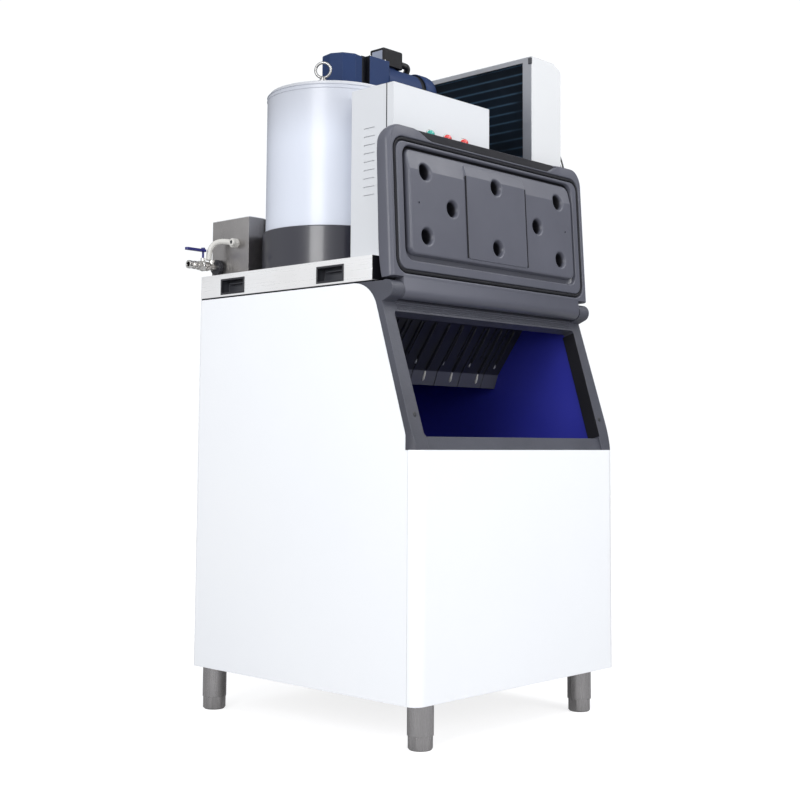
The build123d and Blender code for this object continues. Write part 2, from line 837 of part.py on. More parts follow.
def leg(x, y):
    """Stainless tube with its top flange and the threaded bush for the foot."""
    low = foot_height + fit_gap
    body = ring(leg_radius, leg_radius - leg_tube_wall, low, leg_height, x, y)
    body += rod(x, y, leg_height - leg_flange_thickness, leg_height, leg_flange_radius)
    body += rod(x, y, low, low + leg_bush_thickness, leg_radius - leg_tube_wall / 2)
    return body - rod(x, y, low - 1, leg_height - leg_flange_thickness - 4,
                      foot_stud_radius + thread_clearance)


def foot(x, y):
    """Levelling foot: round body with six flats, on a threaded stud."""
    body = rod(0, 0, 0, foot_height, foot_radius)
    sole = body.edges().filter_by(GeomType.CIRCLE).sort_by(Axis.Z)[0]
    body = chamfer(sole, foot_chamfer)
    flats = extrude(RegularPolygon(foot_flat_reach, 6, major_radius=False, rotation=30), foot_height)
    body &= flats
    body += rod(0, 0, foot_height - 2, foot_height + foot_stud_length, foot_stud_radius)
    return Pos(x, y, 0) * body


def tray_gasket():
    """Flat rubber strip under the tray's edge."""
    outer = block(-half_width + 2, half_width - 2, tray_front_y + 2, tray_rear_y - 2,
                  bin_top, tray_bottom)
    inner = block(-half_width + tray_gasket_width, half_width - tray_gasket_width,
                  tray_front_y + tray_gasket_width, tray_rear_y - tray_gasket_width,
                  bin_top - 1, tray_bottom + 1)
    return outer - inner


def tray_outline(inset):
    middle = (tray_front_y + tray_rear_y) / 2
    face = Pos(0, middle) * Rectangle(bin_width - 2 * inset, tray_rear_y - tray_front_y - 2 * inset)
    rear = face.vertices().filter_by(lambda v: v.Y > middle)
    return fillet(rear, max(tray_corner_radius - inset, 1.0))


def base_tray():
    """Folded stainless tray: deck, deep skirt and a return flange below."""
    body = plan_prism(tray_outline(0), tray_bottom, tray_top)
    body -= plan_prism(tray_outline(tray_sheet), tray_bottom + tray_sheet, tray_top - tray_sheet)
    body -= plan_prism(tray_outline(tray_return), tray_bottom - 1, tray_bottom + tray_sheet + 1)
    body -= rod(drum_x, drum_y, tray_bottom - 1, tray_top + 1, chute_radius + liner_wall + chute_gap)
    for y in (slot_rear_y, slot_front_y):
        low = tray_bottom + slot_sill
        body -= block(-half_width - 1, half_width + 1, y - slot_width / 2, y + slot_width / 2,
                      low, low + slot_height)
    return body


def drum_base():
    """Black moulded ring that carries the drum on the tray."""
    body = ring(drum_base_radius, freezer_radius - drum_base_lip, tray_top, freezer_bottom)
    body += ring(drum_base_radius, drum_radius + drum_fit, tray_top, tray_top + drum_base_height)
    rim = body.edges().filter_by(GeomType.CIRCLE).sort_by(Axis.Z)[-2:]
    rim = [edge for edge in rim if edge.radius > drum_radius + 1]
    return Pos(drum_x, drum_y, 0) * fillet(rim, 3)


def drum_shell():
    """White outer shell, rolled in at its top to carry the lid."""
    body = rod(0, 0, freezer_bottom, drum_top, drum_radius)
    top = body.edges().filter_by(GeomType.CIRCLE).sort_by(Axis.Z)[-1]
    body = fillet(top, 4)
    body -= rod(0, 0, freezer_bottom - 1, drum_top - drum_shell_wall, drum_radius - drum_shell_wall)
    body -= rod(0, 0, drum_top - 10, drum_top + 1, drum_radius - drum_rim_width)
    return Pos(drum_x, drum_y, 0) * body


def evaporator_cylinder():
    """Freezing cylinder; rings outside it part the refrigerant's path."""
    body = ring(freezer_radius + freezer_wall, freezer_radius, freezer_bottom, freezer_top)
    step = (freezer_height - freezer_rib_thickness) / (freezer_rib_count - 1)
    for rib in range(freezer_rib_count):
        low = freezer_bottom + rib * step
        body += ring(freezer_rib_radius, freezer_radius + 1, low, low + freezer_rib_thickness)
    return Pos(drum_x, drum_y, 0) * body


def drum_insulation():
    outer = drum_radius - drum_shell_wall - drum_fit
    body = ring(outer, freezer_rib_radius + drum_fit, freezer_bottom, drum_top - drum_shell_wall)
    return Pos(drum_x, drum_y, 0) * body


def drum_lid():
    """Pressed lid with a plug that centres it in the freezing cylinder."""
    body = rod(0, 0, drum_top, lid_top, lid_radius)
    edge = body.edges().filter_by(GeomType.CIRCLE).sort_by(Axis.Z)[-1]
    body = fillet(edge, 3)
    plug_low_z = freezer_top - 6
    body += rod(0, 0, plug_low_z, drum_top + 1, freezer_radius - 0.5)
    body -= rod(0, 0, plug_low_z - 1, drum_top - 3, freezer_radius - 8)
    body -= rod(0, 0, drum_top - 20, lid_top + 1, shaft_radius + 4)
    body -= rod(supply_run_x - drum_x, supply_drop_y - drum_y, plug_low_z - 1, lid_top + 1,
                supply_pipe_radius + 0.3)
    return Pos(drum_x, drum_y, 0) * body


def eye_places():
    places = []
    for turn in (lifting_eye_bearing, lifting_eye_bearing + 180):
        angle = math.radians(turn)
        places.append((drum_x + lifting_eye_reach * math.cos(angle),
                       drum_y + lifting_eye_reach * math.sin(angle)))
    return places


def lifting_eyes():
    """Two forged eye bolts that stand on the lid's edge."""
    wire = (lifting_eye_radius - lifting_eye_hole_radius) / 2
    eyes = []
    for x, y in eye_places():
        eye = Torus(lifting_eye_hole_radius + wire, wire)
        eye = Pos(0, 0, lifting_eye_ring_height) * Rot(90, 0, 0) * eye
        neck = rod(0, 0, 3, lifting_eye_ring_height - lifting_eye_hole_radius - wire,
                   lifting_eye_stem_radius)
        collar = rod(0, 0, 0, 4, lifting_eye_collar_radius)
        solid = (eye + neck + collar).solid()
        eyes.append(Pos(x, y, lid_top) * Rot(0, 0, lifting_eye_bearing + 90) * solid)
    return Compound(children=eyes)


def shaft_bottom():
    return freezer_bottom + shaft_bottom_gap


def spindle():
    """Drive shaft with the two arms that carry the ice cutter."""
    body = rod(0, 0, shaft_bottom(), lid_top + gear_flange_thickness / 2, shaft_radius)
    for z in cutter_arm_levels():
        body += block(0, cutter_arm_length, -cutter_arm_width / 2, cutter_arm_width / 2,
                      z, z + cutter_arm_height)
        body += rod(0, 0, z - 4, z + cutter_arm_height + 4, shaft_radius + 9)
    body += rod(0, 0, pan_level() - 8, pan_level(), shaft_radius + 9)
    return Pos(drum_x, drum_y, 0) * body


def cutter_arm_levels():
    return freezer_bottom + 60, freezer_top - 100


def pan_level():
    return freezer_top - 66


def ice_cutter():
    """Upright bar with slanted teeth that break the ice off the wall."""
    low = freezer_bottom + 40
    high = freezer_top - 70
    back = block(cutter_arm_length, cutter_arm_length + cutter_back_thickness,
                 -cutter_back_width / 2, cutter_back_width / 2, low, high)
    reach = freezer_radius - cutter_ice_gap
    pitch = (high - low - 30) / (cutter_tooth_count - 1)
    edge = cutter_arm_length + cutter_back_thickness
    body = back
    for tooth in range(cutter_tooth_count):
        half = cutter_back_width / 2
        blade = polygon([(edge - 2, 2 - half), (reach - 4, 5 - half), (reach - 1, 0),
                         (reach - 7, half - 5), (edge - 2, half - 2)])
        plate = extrude(blade, cutter_tooth_thickness / 2, both=True)
        body += Pos(0, 0, low + 15 + tooth * pitch) * Rot(cutter_tooth_angle, 0, 0) * plate
    return Pos(drum_x, drum_y, 0) * (body & block(0, reach, -60, 60, low, high))


def water_distributor():
    """Pan on the shaft with tubes that wet the freezing wall."""
    low = pan_level()
    pan = ring(water_pan_radius, shaft_radius + shaft_clearance, low, low + water_pan_height)
    pan -= ring(water_pan_radius - water_pan_wall, shaft_radius + 5, low + water_pan_wall,
                low + water_pan_height + 1)
    body = pan
    end = freezer_radius - spray_tube_end_gap
    z = low + spray_tube_radius + 1
    for tube in range(spray_tube_count):
        turn = Rot(0, 0, 360 * (tube + 0.5) / spray_tube_count)
        outside = rod_x(water_pan_radius - 1.5, end, 0, z, spray_tube_radius)
        bore = rod_x(water_pan_radius - 3, end + 1, 0, z, spray_tube_radius - 1.4)
        body += turn * outside
        body -= turn * bore
    return Pos(drum_x, drum_y, 0) * body


def bearing_spider():
    """Three-armed bracket across the drum's mouth with the lower bearing's seat."""
    low = freezer_bottom
    body = rod(0, 0, low, low + spider_height, spider_hub_radius)
    for arm in range(spider_arm_count):
        turn = Rot(0, 0, 90 + 360 * arm / spider_arm_count)
        body += turn * block(0, freezer_radius - 3, -spider_arm_width / 2, spider_arm_width / 2,
                             low, low + spider_height * 0.6)
        body += turn * block(freezer_radius - 10, freezer_radius - 0.8, -16, 16,
                             low, low + spider_height)
    body &= rod(0, 0, low, low + spider_height, freezer_radius - 0.4)
    pocket = low + spider_floor
    body -= rod(0, 0, pocket, low + spider_height + 1, bearing_radius)
    bearing = ring(bearing_radius, shaft_radius + shaft_clearance, pocket, pocket + bearing_height)
    centre = Pos(drum_x, drum_y, 0)
    return Compound(children=[centre * body.solid(), centre * bearing.solid()])


def gearbox_housing():
    """Cast housing: round flange, faceted tower over the gears, motor block."""
    body = ring(gear_flange_radius, shaft_radius + shaft_clearance, lid_top, gear_base)
    tower = extrude(Plane.XY.offset(gear_base) * RegularPolygon(tower_radius, tower_sides,
                                                              rotation=9), tower_height)
    crown = tower.faces().sort_by(Axis.Z)[-1]
    tower = chamfer(crown.edges(), 3)
    body += Pos(tower_offset, 0, 0) * tower
    start = gear_block_x - drum_x
    deck = motor_axis_z - gear_block_height / 2
    body += block(start - 14, start + gear_block_length, -gear_block_half_depth,
                  gear_block_half_depth, deck, deck + gear_block_height)
    body -= block(start - 15, start, -gear_block_half_depth - 1, -gear_block_half_depth + 16,
                  deck - 1, deck + gear_block_height + 1)
    body -= block(start - 15, start, gear_block_half_depth - 16, gear_block_half_depth + 1,
                  deck - 1, deck + gear_block_height + 1)
    return Pos(drum_x, drum_y, 0) * body


def motor_body():
    """Round motor frame with shallow cooling ribs and its end ring."""
    end = motor_x + motor_length
    body = rod_x(motor_x, end, drum_y, motor_axis_z, motor_radius)
    body += rod_x(end, end + motor_ring_length, drum_y, motor_axis_z, motor_ring_radius)
    neck = block(-terminal_box_neck / 2, terminal_box_neck / 2, -terminal_box_neck / 2,
                 terminal_box_neck / 2, motor_radius - 8, motor_radius + terminal_box_gap)
    middle_x = motor_x + terminal_box_offset + terminal_box_width / 2
    return body + Pos(middle_x, drum_y, motor_axis_z) * neck


def fan_cowl():
    """Cap over the motor's own fan, with slots pressed into its end."""
    start = motor_x + motor_length + motor_ring_length
    body = rod_x(start, start + cowl_length, drum_y, motor_axis_z, cowl_radius)
    rim = body.edges().filter_by(GeomType.CIRCLE).sort_by(Axis.X)[-1]
    body = fillet(rim, cowl_edge_radius)
    for slot in range(8):
        turn = Rot(slot * 45, 0, 0)
        cut = block(cowl_length - 3, cowl_length + 1, -2.5, 2.5, 14, 38)
        body -= Pos(start, drum_y, motor_axis_z) * turn * cut
    return body


def terminal_box_x():
    return motor_x + terminal_box_offset


def terminal_box():
    low = motor_axis_z + motor_radius + terminal_box_gap
    body = block(terminal_box_x(), terminal_box_x() + terminal_box_width,
                 drum_y - terminal_box_depth / 2, drum_y + terminal_box_depth / 2,
                 low, low + terminal_box_height)
    body = fillet(body.edges().filter_by(Axis.Z), 7)
    top = body.faces().sort_by(Axis.Z)[-1]
    body = fillet(top.edges(), 4)
    end = terminal_box_x() + terminal_box_width
    gland = rod_x(end - 2, end + gland_length, drum_y, conduit_z(), gland_radius)
    return body + gland


def conduit_z():
    return motor_axis_z + motor_radius + terminal_box_gap + terminal_box_height * 0.45


def pipe(points, radii, radius):
    """Round pipe along straight runs joined by arcs."""
    path = FilletPolyline(*points, radius=radii)
    start = Plane(origin=path @ 0, z_dir=path % 0)
    return sweep(start * Circle(radius), path=path)


def motor_conduit():
    """Black conduit from the terminal box down to the control box's back."""
    start = terminal_box_x() + terminal_box_width + gland_length
    z = conduit_z()
    turn_x = start + conduit_exit
    behind = drum_y + cowl_radius + conduit_gap + conduit_radius
    entry_x = control_right_x - conduit_entry_inset
    entry_z = z - conduit_drop
    points = [(start, drum_y, z), (turn_x, drum_y, z),
              (turn_x + conduit_swing, behind, z - conduit_dip),
              (turn_x + conduit_swing, behind, z - conduit_fall),
              (entry_x, drum_y - conduit_elbow_run, entry_z), (entry_x, control_rear_y, entry_z)]
    return pipe(points, [18, 24, 60, 55], conduit_radius)


def control_box_body():
    """Folded box, open to the front under its cover, with slots for air."""
    body = block(control_left_x, control_right_x, control_split_y + control_seam, control_rear_y,
                 tray_top, control_top)
    body -= block(control_left_x + skin, control_right_x - skin, control_split_y,
                  control_rear_y - skin, tray_top + skin, control_top - skin)
    for slot in range(louvre_count):
        z = control_top - louvre_top_drop - slot * louvre_pitch
        body -= block(control_left_x - 1, control_left_x + skin + 1,
                      louvre_rear_y - louvre_length, louvre_rear_y, z - louvre_height / 2,
                      z + louvre_height / 2)
    return body


def control_box_cover():
    body = block(control_left_x, control_right_x, control_front_y, control_split_y,
                 tray_top, control_top)
    body -= block(control_left_x + skin, control_right_x - skin, control_front_y + skin,
                  control_split_y + 1, tray_top + skin, control_top - skin)
    for x, z in lamp_places():
        hole = Pos(x, control_front_y, z) * Rot(90, 0, 0) * Cylinder(lamp_stem_radius + 0.3, 12)
        body -= hole
    return body


def lamp_places():
    return [(lamp_first_x + n * lamp_pitch, control_top - lamp_drop) for n in range(3)]


def pilot_lamps():
    """Domed pilot lamps, each with its collar and the stem behind the cover."""
    lamps = []
    for x, z in lamp_places():
        dome = rod(0, 0, 0, lamp_height, lamp_radius)
        top = dome.edges().filter_by(GeomType.CIRCLE).sort_by(Axis.Z)[-1]
        dome = fillet(top, 7)
        dome += rod(0, 0, 0, lamp_collar_height, lamp_collar_radius)
        dome += rod(0, 0, -lamp_stem_length, 1, lamp_stem_radius)
        lamps.append(Pos(x, control_front_y, z) * Rot(90, 0, 0) * dome.solid())
    return Compound(children=lamps)


def compressor():
    """Welded can on a foot plate with four rubber feet, stubs and a terminal cap."""
    low = tray_top
    plate_low = low + compressor_foot_height - 4
    body = rod(0, 0, plate_low, low + compressor_height, compressor_radius)
    top = body.edges().filter_by(GeomType.CIRCLE).sort_by(Axis.Z)[-1]
    body = fillet(top, 40)
    body += rod(0, 0, low + 150, low + 156, compressor_radius + 3)
    reach = compressor_foot_half_width
    body += block(-reach, reach, -reach, reach, plate_low, plate_low + 4)
    for sx in (-1, 1):
        for sy in (-1, 1):
            body += rod(sx * (reach - 15), sy * (reach - 15), low, plate_low + 8, 12)
    body += block(-26, 26, compressor_radius - 14, compressor_radius + 18, low + 90, low + 150)
    body += rod(0, -20, low + compressor_height - 20, low + compressor_height + 14, 11)
    body += rod(0, 34, low + compressor_height - 20, low + compressor_height + 14, 8)
    return Pos(compressor_x, compressor_y, 0) * body


def receiver():
    """Liquid receiver: upright bottle with domed ends on a small foot."""
    body = rod(0, 0, tray_top + 20, tray_top + receiver_height, receiver_radius)
    ends = body.edges().filter_by(GeomType.CIRCLE)
    body = fillet(ends, 26)
    body += ring(receiver_radius - 14, receiver_radius - 18, tray_top, tray_top + 32)
    body += rod(0, 0, tray_top + receiver_height - 2, tray_top + receiver_height + 14, 8)
    return Pos(receiver_x, receiver_y, 0) * body


def coil_x():
    return condenser_x + coil_frame_depth


def coil_front_y():
    return condenser_front_y + coil_frame_post


def coil_rear_y():
    return condenser_rear_y - coil_frame_post


def condenser_coil():
    """Finned block with its tubes, which turn back in bends at both ends."""
    low = tray_top + coil_frame_head
    high = condenser_top - coil_frame_head
    body = block(coil_x(), coil_x() + coil_depth, coil_front_y(), coil_rear_y(), low, high)
    first = low + (high - low - (coil_tube_rows - 1) * coil_tube_pitch) / 2
    x = coil_x() + coil_depth / 2
    for bend in range(coil_bend_count):
        z = first + (2 * bend + 0.5) * coil_tube_pitch
        half = coil_tube_pitch / 2
        path = FilletPolyline((x, coil_rear_y() - 1, z - half), (x, coil_rear_y() + 20, z - half),
                              (x, coil_rear_y() + 20, z + half), (x, coil_rear_y() - 1, z + half),
                              radius=half - 1)
        body += sweep(Plane(origin=path @ 0, z_dir=path % 0) * Circle(coil_tube_radius), path=path)
    return body


def coil_frame():
    """Bright frame round the coil's face."""
    body = block(condenser_x, condenser_x + coil_frame_depth, condenser_front_y + shroud_sheet,
                 condenser_rear_y - shroud_sheet, tray_top, condenser_top - shroud_sheet)
    return body - block(condenser_x - 1, condenser_x + coil_frame_depth + 1, coil_front_y() + 0.5,
                        coil_rear_y() - 0.5, tray_top + coil_frame_head + 0.5,
                        condenser_top - coil_frame_head - 0.5)


def shroud_outline(inset):
    left = condenser_x
    right = condenser_right_x - inset
    top = condenser_top - inset
    length = math.hypot(shoulder_run, shoulder_drop)
    out_x, out_z = shoulder_drop / length, shoulder_run / length
    reach = out_x * condenser_right_x + out_z * (condenser_top - shoulder_drop) - inset
    high_x = (reach - out_z * top) / out_x
    low_z = (reach - out_x * right) / out_z
    face = polygon([(left, tray_top), (right, tray_top), (right, low_z), (high_x, top), (left, top)])
    bends = face.vertices().sort_by(lambda v: v.X + v.Y)[-2:]
    return fillet(bends, shoulder_radius - inset)


def condenser_shroud():
    """White hood behind the coil, bevelled along its shoulder, with the fan's opening."""
    length = condenser_length
    outer = extrude(Plane.XZ.offset(-condenser_rear_y) * shroud_outline(0), length)
    inner = extrude(Plane.XZ.offset(-condenser_rear_y + shroud_sheet)
                    * shroud_outline(shroud_sheet), length - 2 * shroud_sheet)
    body = outer - inner
    return body - rod_x(condenser_right_x - 10, condenser_right_x + 10, fan_y, fan_z,
                        fan_opening_radius)


def fan_hub_x():
    return condenser_right_x - fan_hub_length - 4


def condenser_fan():
    """Five pitched blades on a round hub, carried by the motor's shaft."""
    x0 = fan_hub_x()
    hub = rod(0, 0, 0, fan_hub_length, fan_hub_radius)
    rim = hub.edges().filter_by(GeomType.CIRCLE).sort_by(Axis.Z)[0]
    hub = fillet(rim, 10)
    body = hub
    for blade in range(fan_blade_count):
        sheet = polygon([(fan_hub_radius - 8, -fan_blade_chord * 0.22),
                         (fan_radius - 22, -fan_blade_chord * 0.5), (fan_radius, -fan_blade_chord * 0.1),
                         (fan_radius - 6, fan_blade_chord * 0.42),
                         (fan_hub_radius - 8, fan_blade_chord * 0.22)])
        plate = extrude(sheet, fan_blade_thickness / 2, both=True)
        plate = Pos(0, 0, fan_hub_length / 2) * Rot(fan_blade_pitch, 0, 0) * plate
        body += Rot(0, 0, 360 * blade / fan_blade_count) * plate
    body &= rod(0, 0, -20, fan_hub_length + 20, fan_radius)
    body -= rod(0, 0, fan_hub_length - 12, fan_hub_length + 1, fan_shaft_radius + 0.05)
    return Pos(x0, fan_y, fan_z) * Rot(0, 90, 0) * body


def fan_motor():
    """Motor held by the guard's middle; its shaft reaches into the hub."""
    start = guard_end - guard_wire - fan_motor_length
    body = rod_x(start, guard_end - guard_wire, fan_y, fan_z, fan_motor_radius)
    ends = body.edges().filter_by(GeomType.CIRCLE).sort_by(Axis.X)[0]
    body = fillet(ends, 8)
    return body + rod_x(fan_hub_x() + fan_hub_length - 11, start + 2, fan_y, fan_z, fan_shaft_radius)


def fan_guard():
    """Wire basket: rings on spokes that bend steeply back to the rim."""
    body = ring(guard_radius, guard_radius - guard_wire * 2, 0, guard_wire)
    flat = guard_depth - guard_wire
    body += ring(guard_hub_radius, 6, flat, guard_depth)
    turn_radius = guard_radius - guard_side[-1][0]
    step = (turn_radius - guard_hub_radius) / (guard_ring_count - 1)
    for count in range(1, guard_ring_count):
        radius = guard_hub_radius + count * step
        body += ring(radius, radius - guard_wire, flat, guard_depth)
    for inset, rise in guard_side[1:-1]:
        body += ring(guard_radius - inset, guard_radius - inset - guard_wire, rise - guard_wire, rise)
    outer = [(guard_radius - inset, rise) for inset, rise in guard_side]
    inner = [(radius - guard_wire, rise * flat / guard_depth) for radius, rise in outer]
    spoke = polygon([(guard_hub_radius - 4, guard_depth), (guard_hub_radius - 4, flat)]
                    + inner[::-1] + outer)
    for count in range(guard_spoke_count):
        wire = extrude(Plane.XZ * spoke, guard_wire / 2, both=True)
        body += Rot(0, 0, 360 * (count + 0.5) / guard_spoke_count) * wire
    return Pos(condenser_right_x, fan_y, fan_z) * Rot(0, 90, 0) * body


def refrigerant_pipes():
    """Suction, discharge and liquid lines between the drum, compressor and coil."""
    can_top = tray_top + compressor_height + 14
    suction_y = compressor_y - 20
    shell_x = drum_x + math.sqrt(drum_radius ** 2 - (suction_y - drum_y) ** 2)
    suction = pipe([(compressor_x, suction_y, can_top), (compressor_x, suction_y, can_top + 70),
                    (shell_x, suction_y, can_top + 70)], [34], suction_pipe_radius)
    suction -= rod(drum_x, drum_y, tray_top, drum_top, drum_radius + 0.2)
    gas_y = compressor_y + 34
    coil_bend_x = coil_x() + coil_depth + 18
    head_z = condenser_top - 60
    gas = pipe([(compressor_x, gas_y, can_top), (compressor_x, gas_y, can_top + 40),
                (compressor_x + 60, condenser_rear_y + 34, can_top + 40),
                (coil_bend_x, condenser_rear_y + 34, head_z),
                (coil_bend_x, condenser_rear_y, head_z)],
               [20, 40, 16], gas_pipe_radius)
    liquid_z = tray_top + receiver_height + 14
    liquid = pipe([(receiver_x, receiver_y, liquid_z), (receiver_x, receiver_y, liquid_z + 30),
                   (receiver_x, condenser_rear_y, liquid_z + 30)], [14], liquid_pipe_radius)
    return Compound(children=[suction.solid(), gas.solid(), liquid.solid()])


def tank_outline(inset):
    """The tank from above: a box with one corner cut back round the drum."""
    left = tank_left_x + inset
    right = tank_right_x - inset
    front = tank_front_y + inset
    rear = tank_rear_y - inset
    turn = math.atan2(tank_front_y - drum_y, tank_corner_x - drum_x)
    reach = tank_drum_reach + inset
    corner = drum_x + (reach - math.sin(turn) * (front - drum_y)) / math.cos(turn)
    side = drum_y + (reach - math.cos(turn) * (right - drum_x)) / math.sin(turn)
    return polygon([(left, front), (corner, front), (right, side), (right, rear), (left, rear)])


def water_tank():
    """Folded stainless tank that feeds the drum's water pump."""
    body = plan_prism(tank_outline(0), tray_top, tank_top)
    body -= plan_prism(tank_outline(tank_sheet), tray_top + tank_sheet, tank_top + 1)
    for y, z, hole in ((inlet_y, inlet_z, inlet_bore_radius + 2), (float_y, float_z, hose_radius)):
        body -= rod_x(tank_left_x - 1, tank_left_x + tank_sheet + 1, y, z, hole)
    body -= rod_x(tank_right_x - tank_sheet - 1, tank_right_x + 1, supply_run_y,
                  tray_top + 40, supply_pipe_radius + 0.3)
    return body


def tank_lid():
    return plan_prism(tank_outline(0), tank_top, tank_top + tank_lid_sheet)


def tank_bulkhead():
    """Black nuts and washer that clamp the inlet through the tank's wall."""
    outside = rod_x(valve_start, tank_left_x, inlet_y, inlet_z, bulkhead_radius)
    rim = outside.edges().filter_by(GeomType.CIRCLE).sort_by(Axis.X)[0]
    outside = chamfer(rim, 3)
    body = outside + rod_x(tank_left_x, tank_left_x + tank_sheet + 1, inlet_y, inlet_z,
                           inlet_bore_radius + 1.9)
    body += rod_x(tank_left_x + tank_sheet, tank_left_x + tank_sheet + inner_nut_length,
                  inlet_y, inlet_z, inner_nut_radius)
    return body - rod_x(valve_start - 1, tank_left_x + 30, inlet_y, inlet_z, inlet_bore_radius)


def valve_body():
    """Ball valve with its tee on the tank side and the hose nipple outside."""
    body = rod_x(tee_start, valve_start, inlet_y, inlet_z, tee_radius)
    branch_x = tee_start + tee_length / 2
    body += rod(branch_x, inlet_y, inlet_z, inlet_z + 18, tee_radius - 1.5)
    for x in (tee_start + 4, valve_end + 8):
        nut = extrude(Plane.YZ.offset(x - 8) * RegularPolygon(valve_nut_radius, 6), 8)
        body += Pos(0, inlet_y, inlet_z) * nut
    body += Pos(stem_x, inlet_y, inlet_z) * Sphere(valve_bulge_radius)
    body += rod_x(stem_x - 15, stem_x + 15, inlet_y, inlet_z, valve_bulge_radius - 2)
    body += rod_x(valve_end, tee_start, inlet_y, inlet_z, tee_radius)
    body += rod(stem_x, inlet_y, inlet_z, inlet_z + valve_bulge_radius + 6, 6)
    body += rod_x(nipple_end, valve_end, inlet_y, inlet_z, nipple_radius)
    body += rod_x(nipple_end, nipple_end + 6, inlet_y, inlet_z, nipple_ring_radius)
    body += rod_x(valve_end - 12, valve_end - 7, inlet_y, inlet_z, nipple_ring_radius)
    body -= rod_x(nipple_end - 1, valve_start + 1, inlet_y, inlet_z, inlet_bore_radius)
    body -= rod_x(nipple_end - 1, valve_end, inlet_y, inlet_z, nipple_bore_radius)
    body -= Pos(stem_x, inlet_y, inlet_z) * Sphere(valve_ball_radius + 0.3)
    body -= rod(stem_x, inlet_y, inlet_z, inlet_z + 40, valve_stem_radius + 0.05)
    return body - rod(branch_x, inlet_y, inlet_z, inlet_z + 20, inlet_bore_radius - 1)


def valve_lever():
    """Lever, stem and bored ball, which turn together."""
    ball = Sphere(valve_ball_radius) - rod_x(-30, 30, 0, 0, inlet_bore_radius)
    stem = rod(0, 0, valve_ball_radius - 2, stem_height + 3, valve_stem_radius)
    low = stem_height
    blade = block(-lever_length, 8, -lever_width / 2, lever_width / 2, low, low + lever_thickness)
    blade = fillet(blade.edges().filter_by(Axis.Z), 4)
    hub = extrude(Plane.XY.offset(low + lever_thickness) * RegularPolygon(5.5, 6), 4)
    shape = (ball + stem + blade + hub)
    return Pos(stem_x, inlet_y, inlet_z) * shape


def inlet_hose():
    """Hose from the tee up and over to the float valve's ring nut."""
    branch_x = tee_start + tee_length / 2
    start_z = inlet_z + 18
    end_x = tank_left_x - 14
    out_x = end_x - 20
    points = [(branch_x, inlet_y, start_z), (branch_x, inlet_y, start_z + hose_rise),
              (out_x, float_y + 34, float_z), (out_x, float_y, float_z),
              (end_x, float_y, float_z)]
    return pipe(points, [16, 14, 13], hose_radius)


def float_seat():
    """Float valve body through the tank's wall, with its pivot ears inside."""
    body = rod_x(tank_left_x - 14, tank_left_x, float_y, float_z, float_ring_radius)
    body += rod_x(tank_left_x - 1, tank_left_x + 20, float_y, float_z, hose_radius - 0.3)
    body += rod_x(tank_left_x + tank_sheet, tank_left_x + 8, float_y, float_z, float_ring_radius)
    body += block(tank_left_x + 14, tank_left_x + 17, float_y - 6, float_y + 6,
                  float_z - 22, float_z)
    body += rod_x(tank_left_x + 16, tank_left_x + 24, float_y, float_pivot_z(), 2.0)
    return body + rod_x(tank_left_x + 23, tank_left_x + 24.5, float_y, float_pivot_z(), 4.0)


def float_pivot_z():
    return float_z - 16


def float_arm():
    """Arm that swings on the float valve's pivot, with its ball."""
    x = tank_left_x + 20.5
    z = float_pivot_z()
    eye = rod_x(x - 2, x + 2, float_y, z, 5)
    end_y = float_y + float_arm_length
    dropped = z - float_drop
    beam = polygon([(float_y + 3, z + 2), (end_y, dropped + 2), (end_y, dropped - 2),
                    (float_y + 3, z - 2)])
    arm = side_prism(beam, x - 2, x + 2)
    ball = Pos(x + float_ball_radius - 6, end_y, dropped) * Sphere(float_ball_radius)
    return eye + arm + ball - rod_x(x - 3, x + 3, float_y, z, 2.05)


def water_pump():
    """Upright pump in the tank, its outlet turned to the tank's right wall."""
    low = tray_top + tank_sheet
    body = rod(pump_x, pump_y, low, low + pump_height, pump_radius)
    top = body.edges().filter_by(GeomType.CIRCLE).sort_by(Axis.Z)[-1]
    body = fillet(top, 6)
    return body + rod_x(pump_x, pump_x + pump_radius + 6, supply_run_y, tray_top + 40,
                        supply_pipe_radius + 2)


def supply_pipe():
    """Riser from the pump, up behind the drum and down through its lid."""
    z = tray_top + 40
    points = [(pump_x + pump_radius + 6, supply_run_y, z), (supply_run_x, supply_run_y, z),
              (supply_run_x, supply_run_y, supply_z), (supply_run_x, supply_drop_y, supply_z),
              (supply_run_x, supply_drop_y, freezer_top - 10)]
    return pipe(points, [28, 28, 20], supply_pipe_radius)


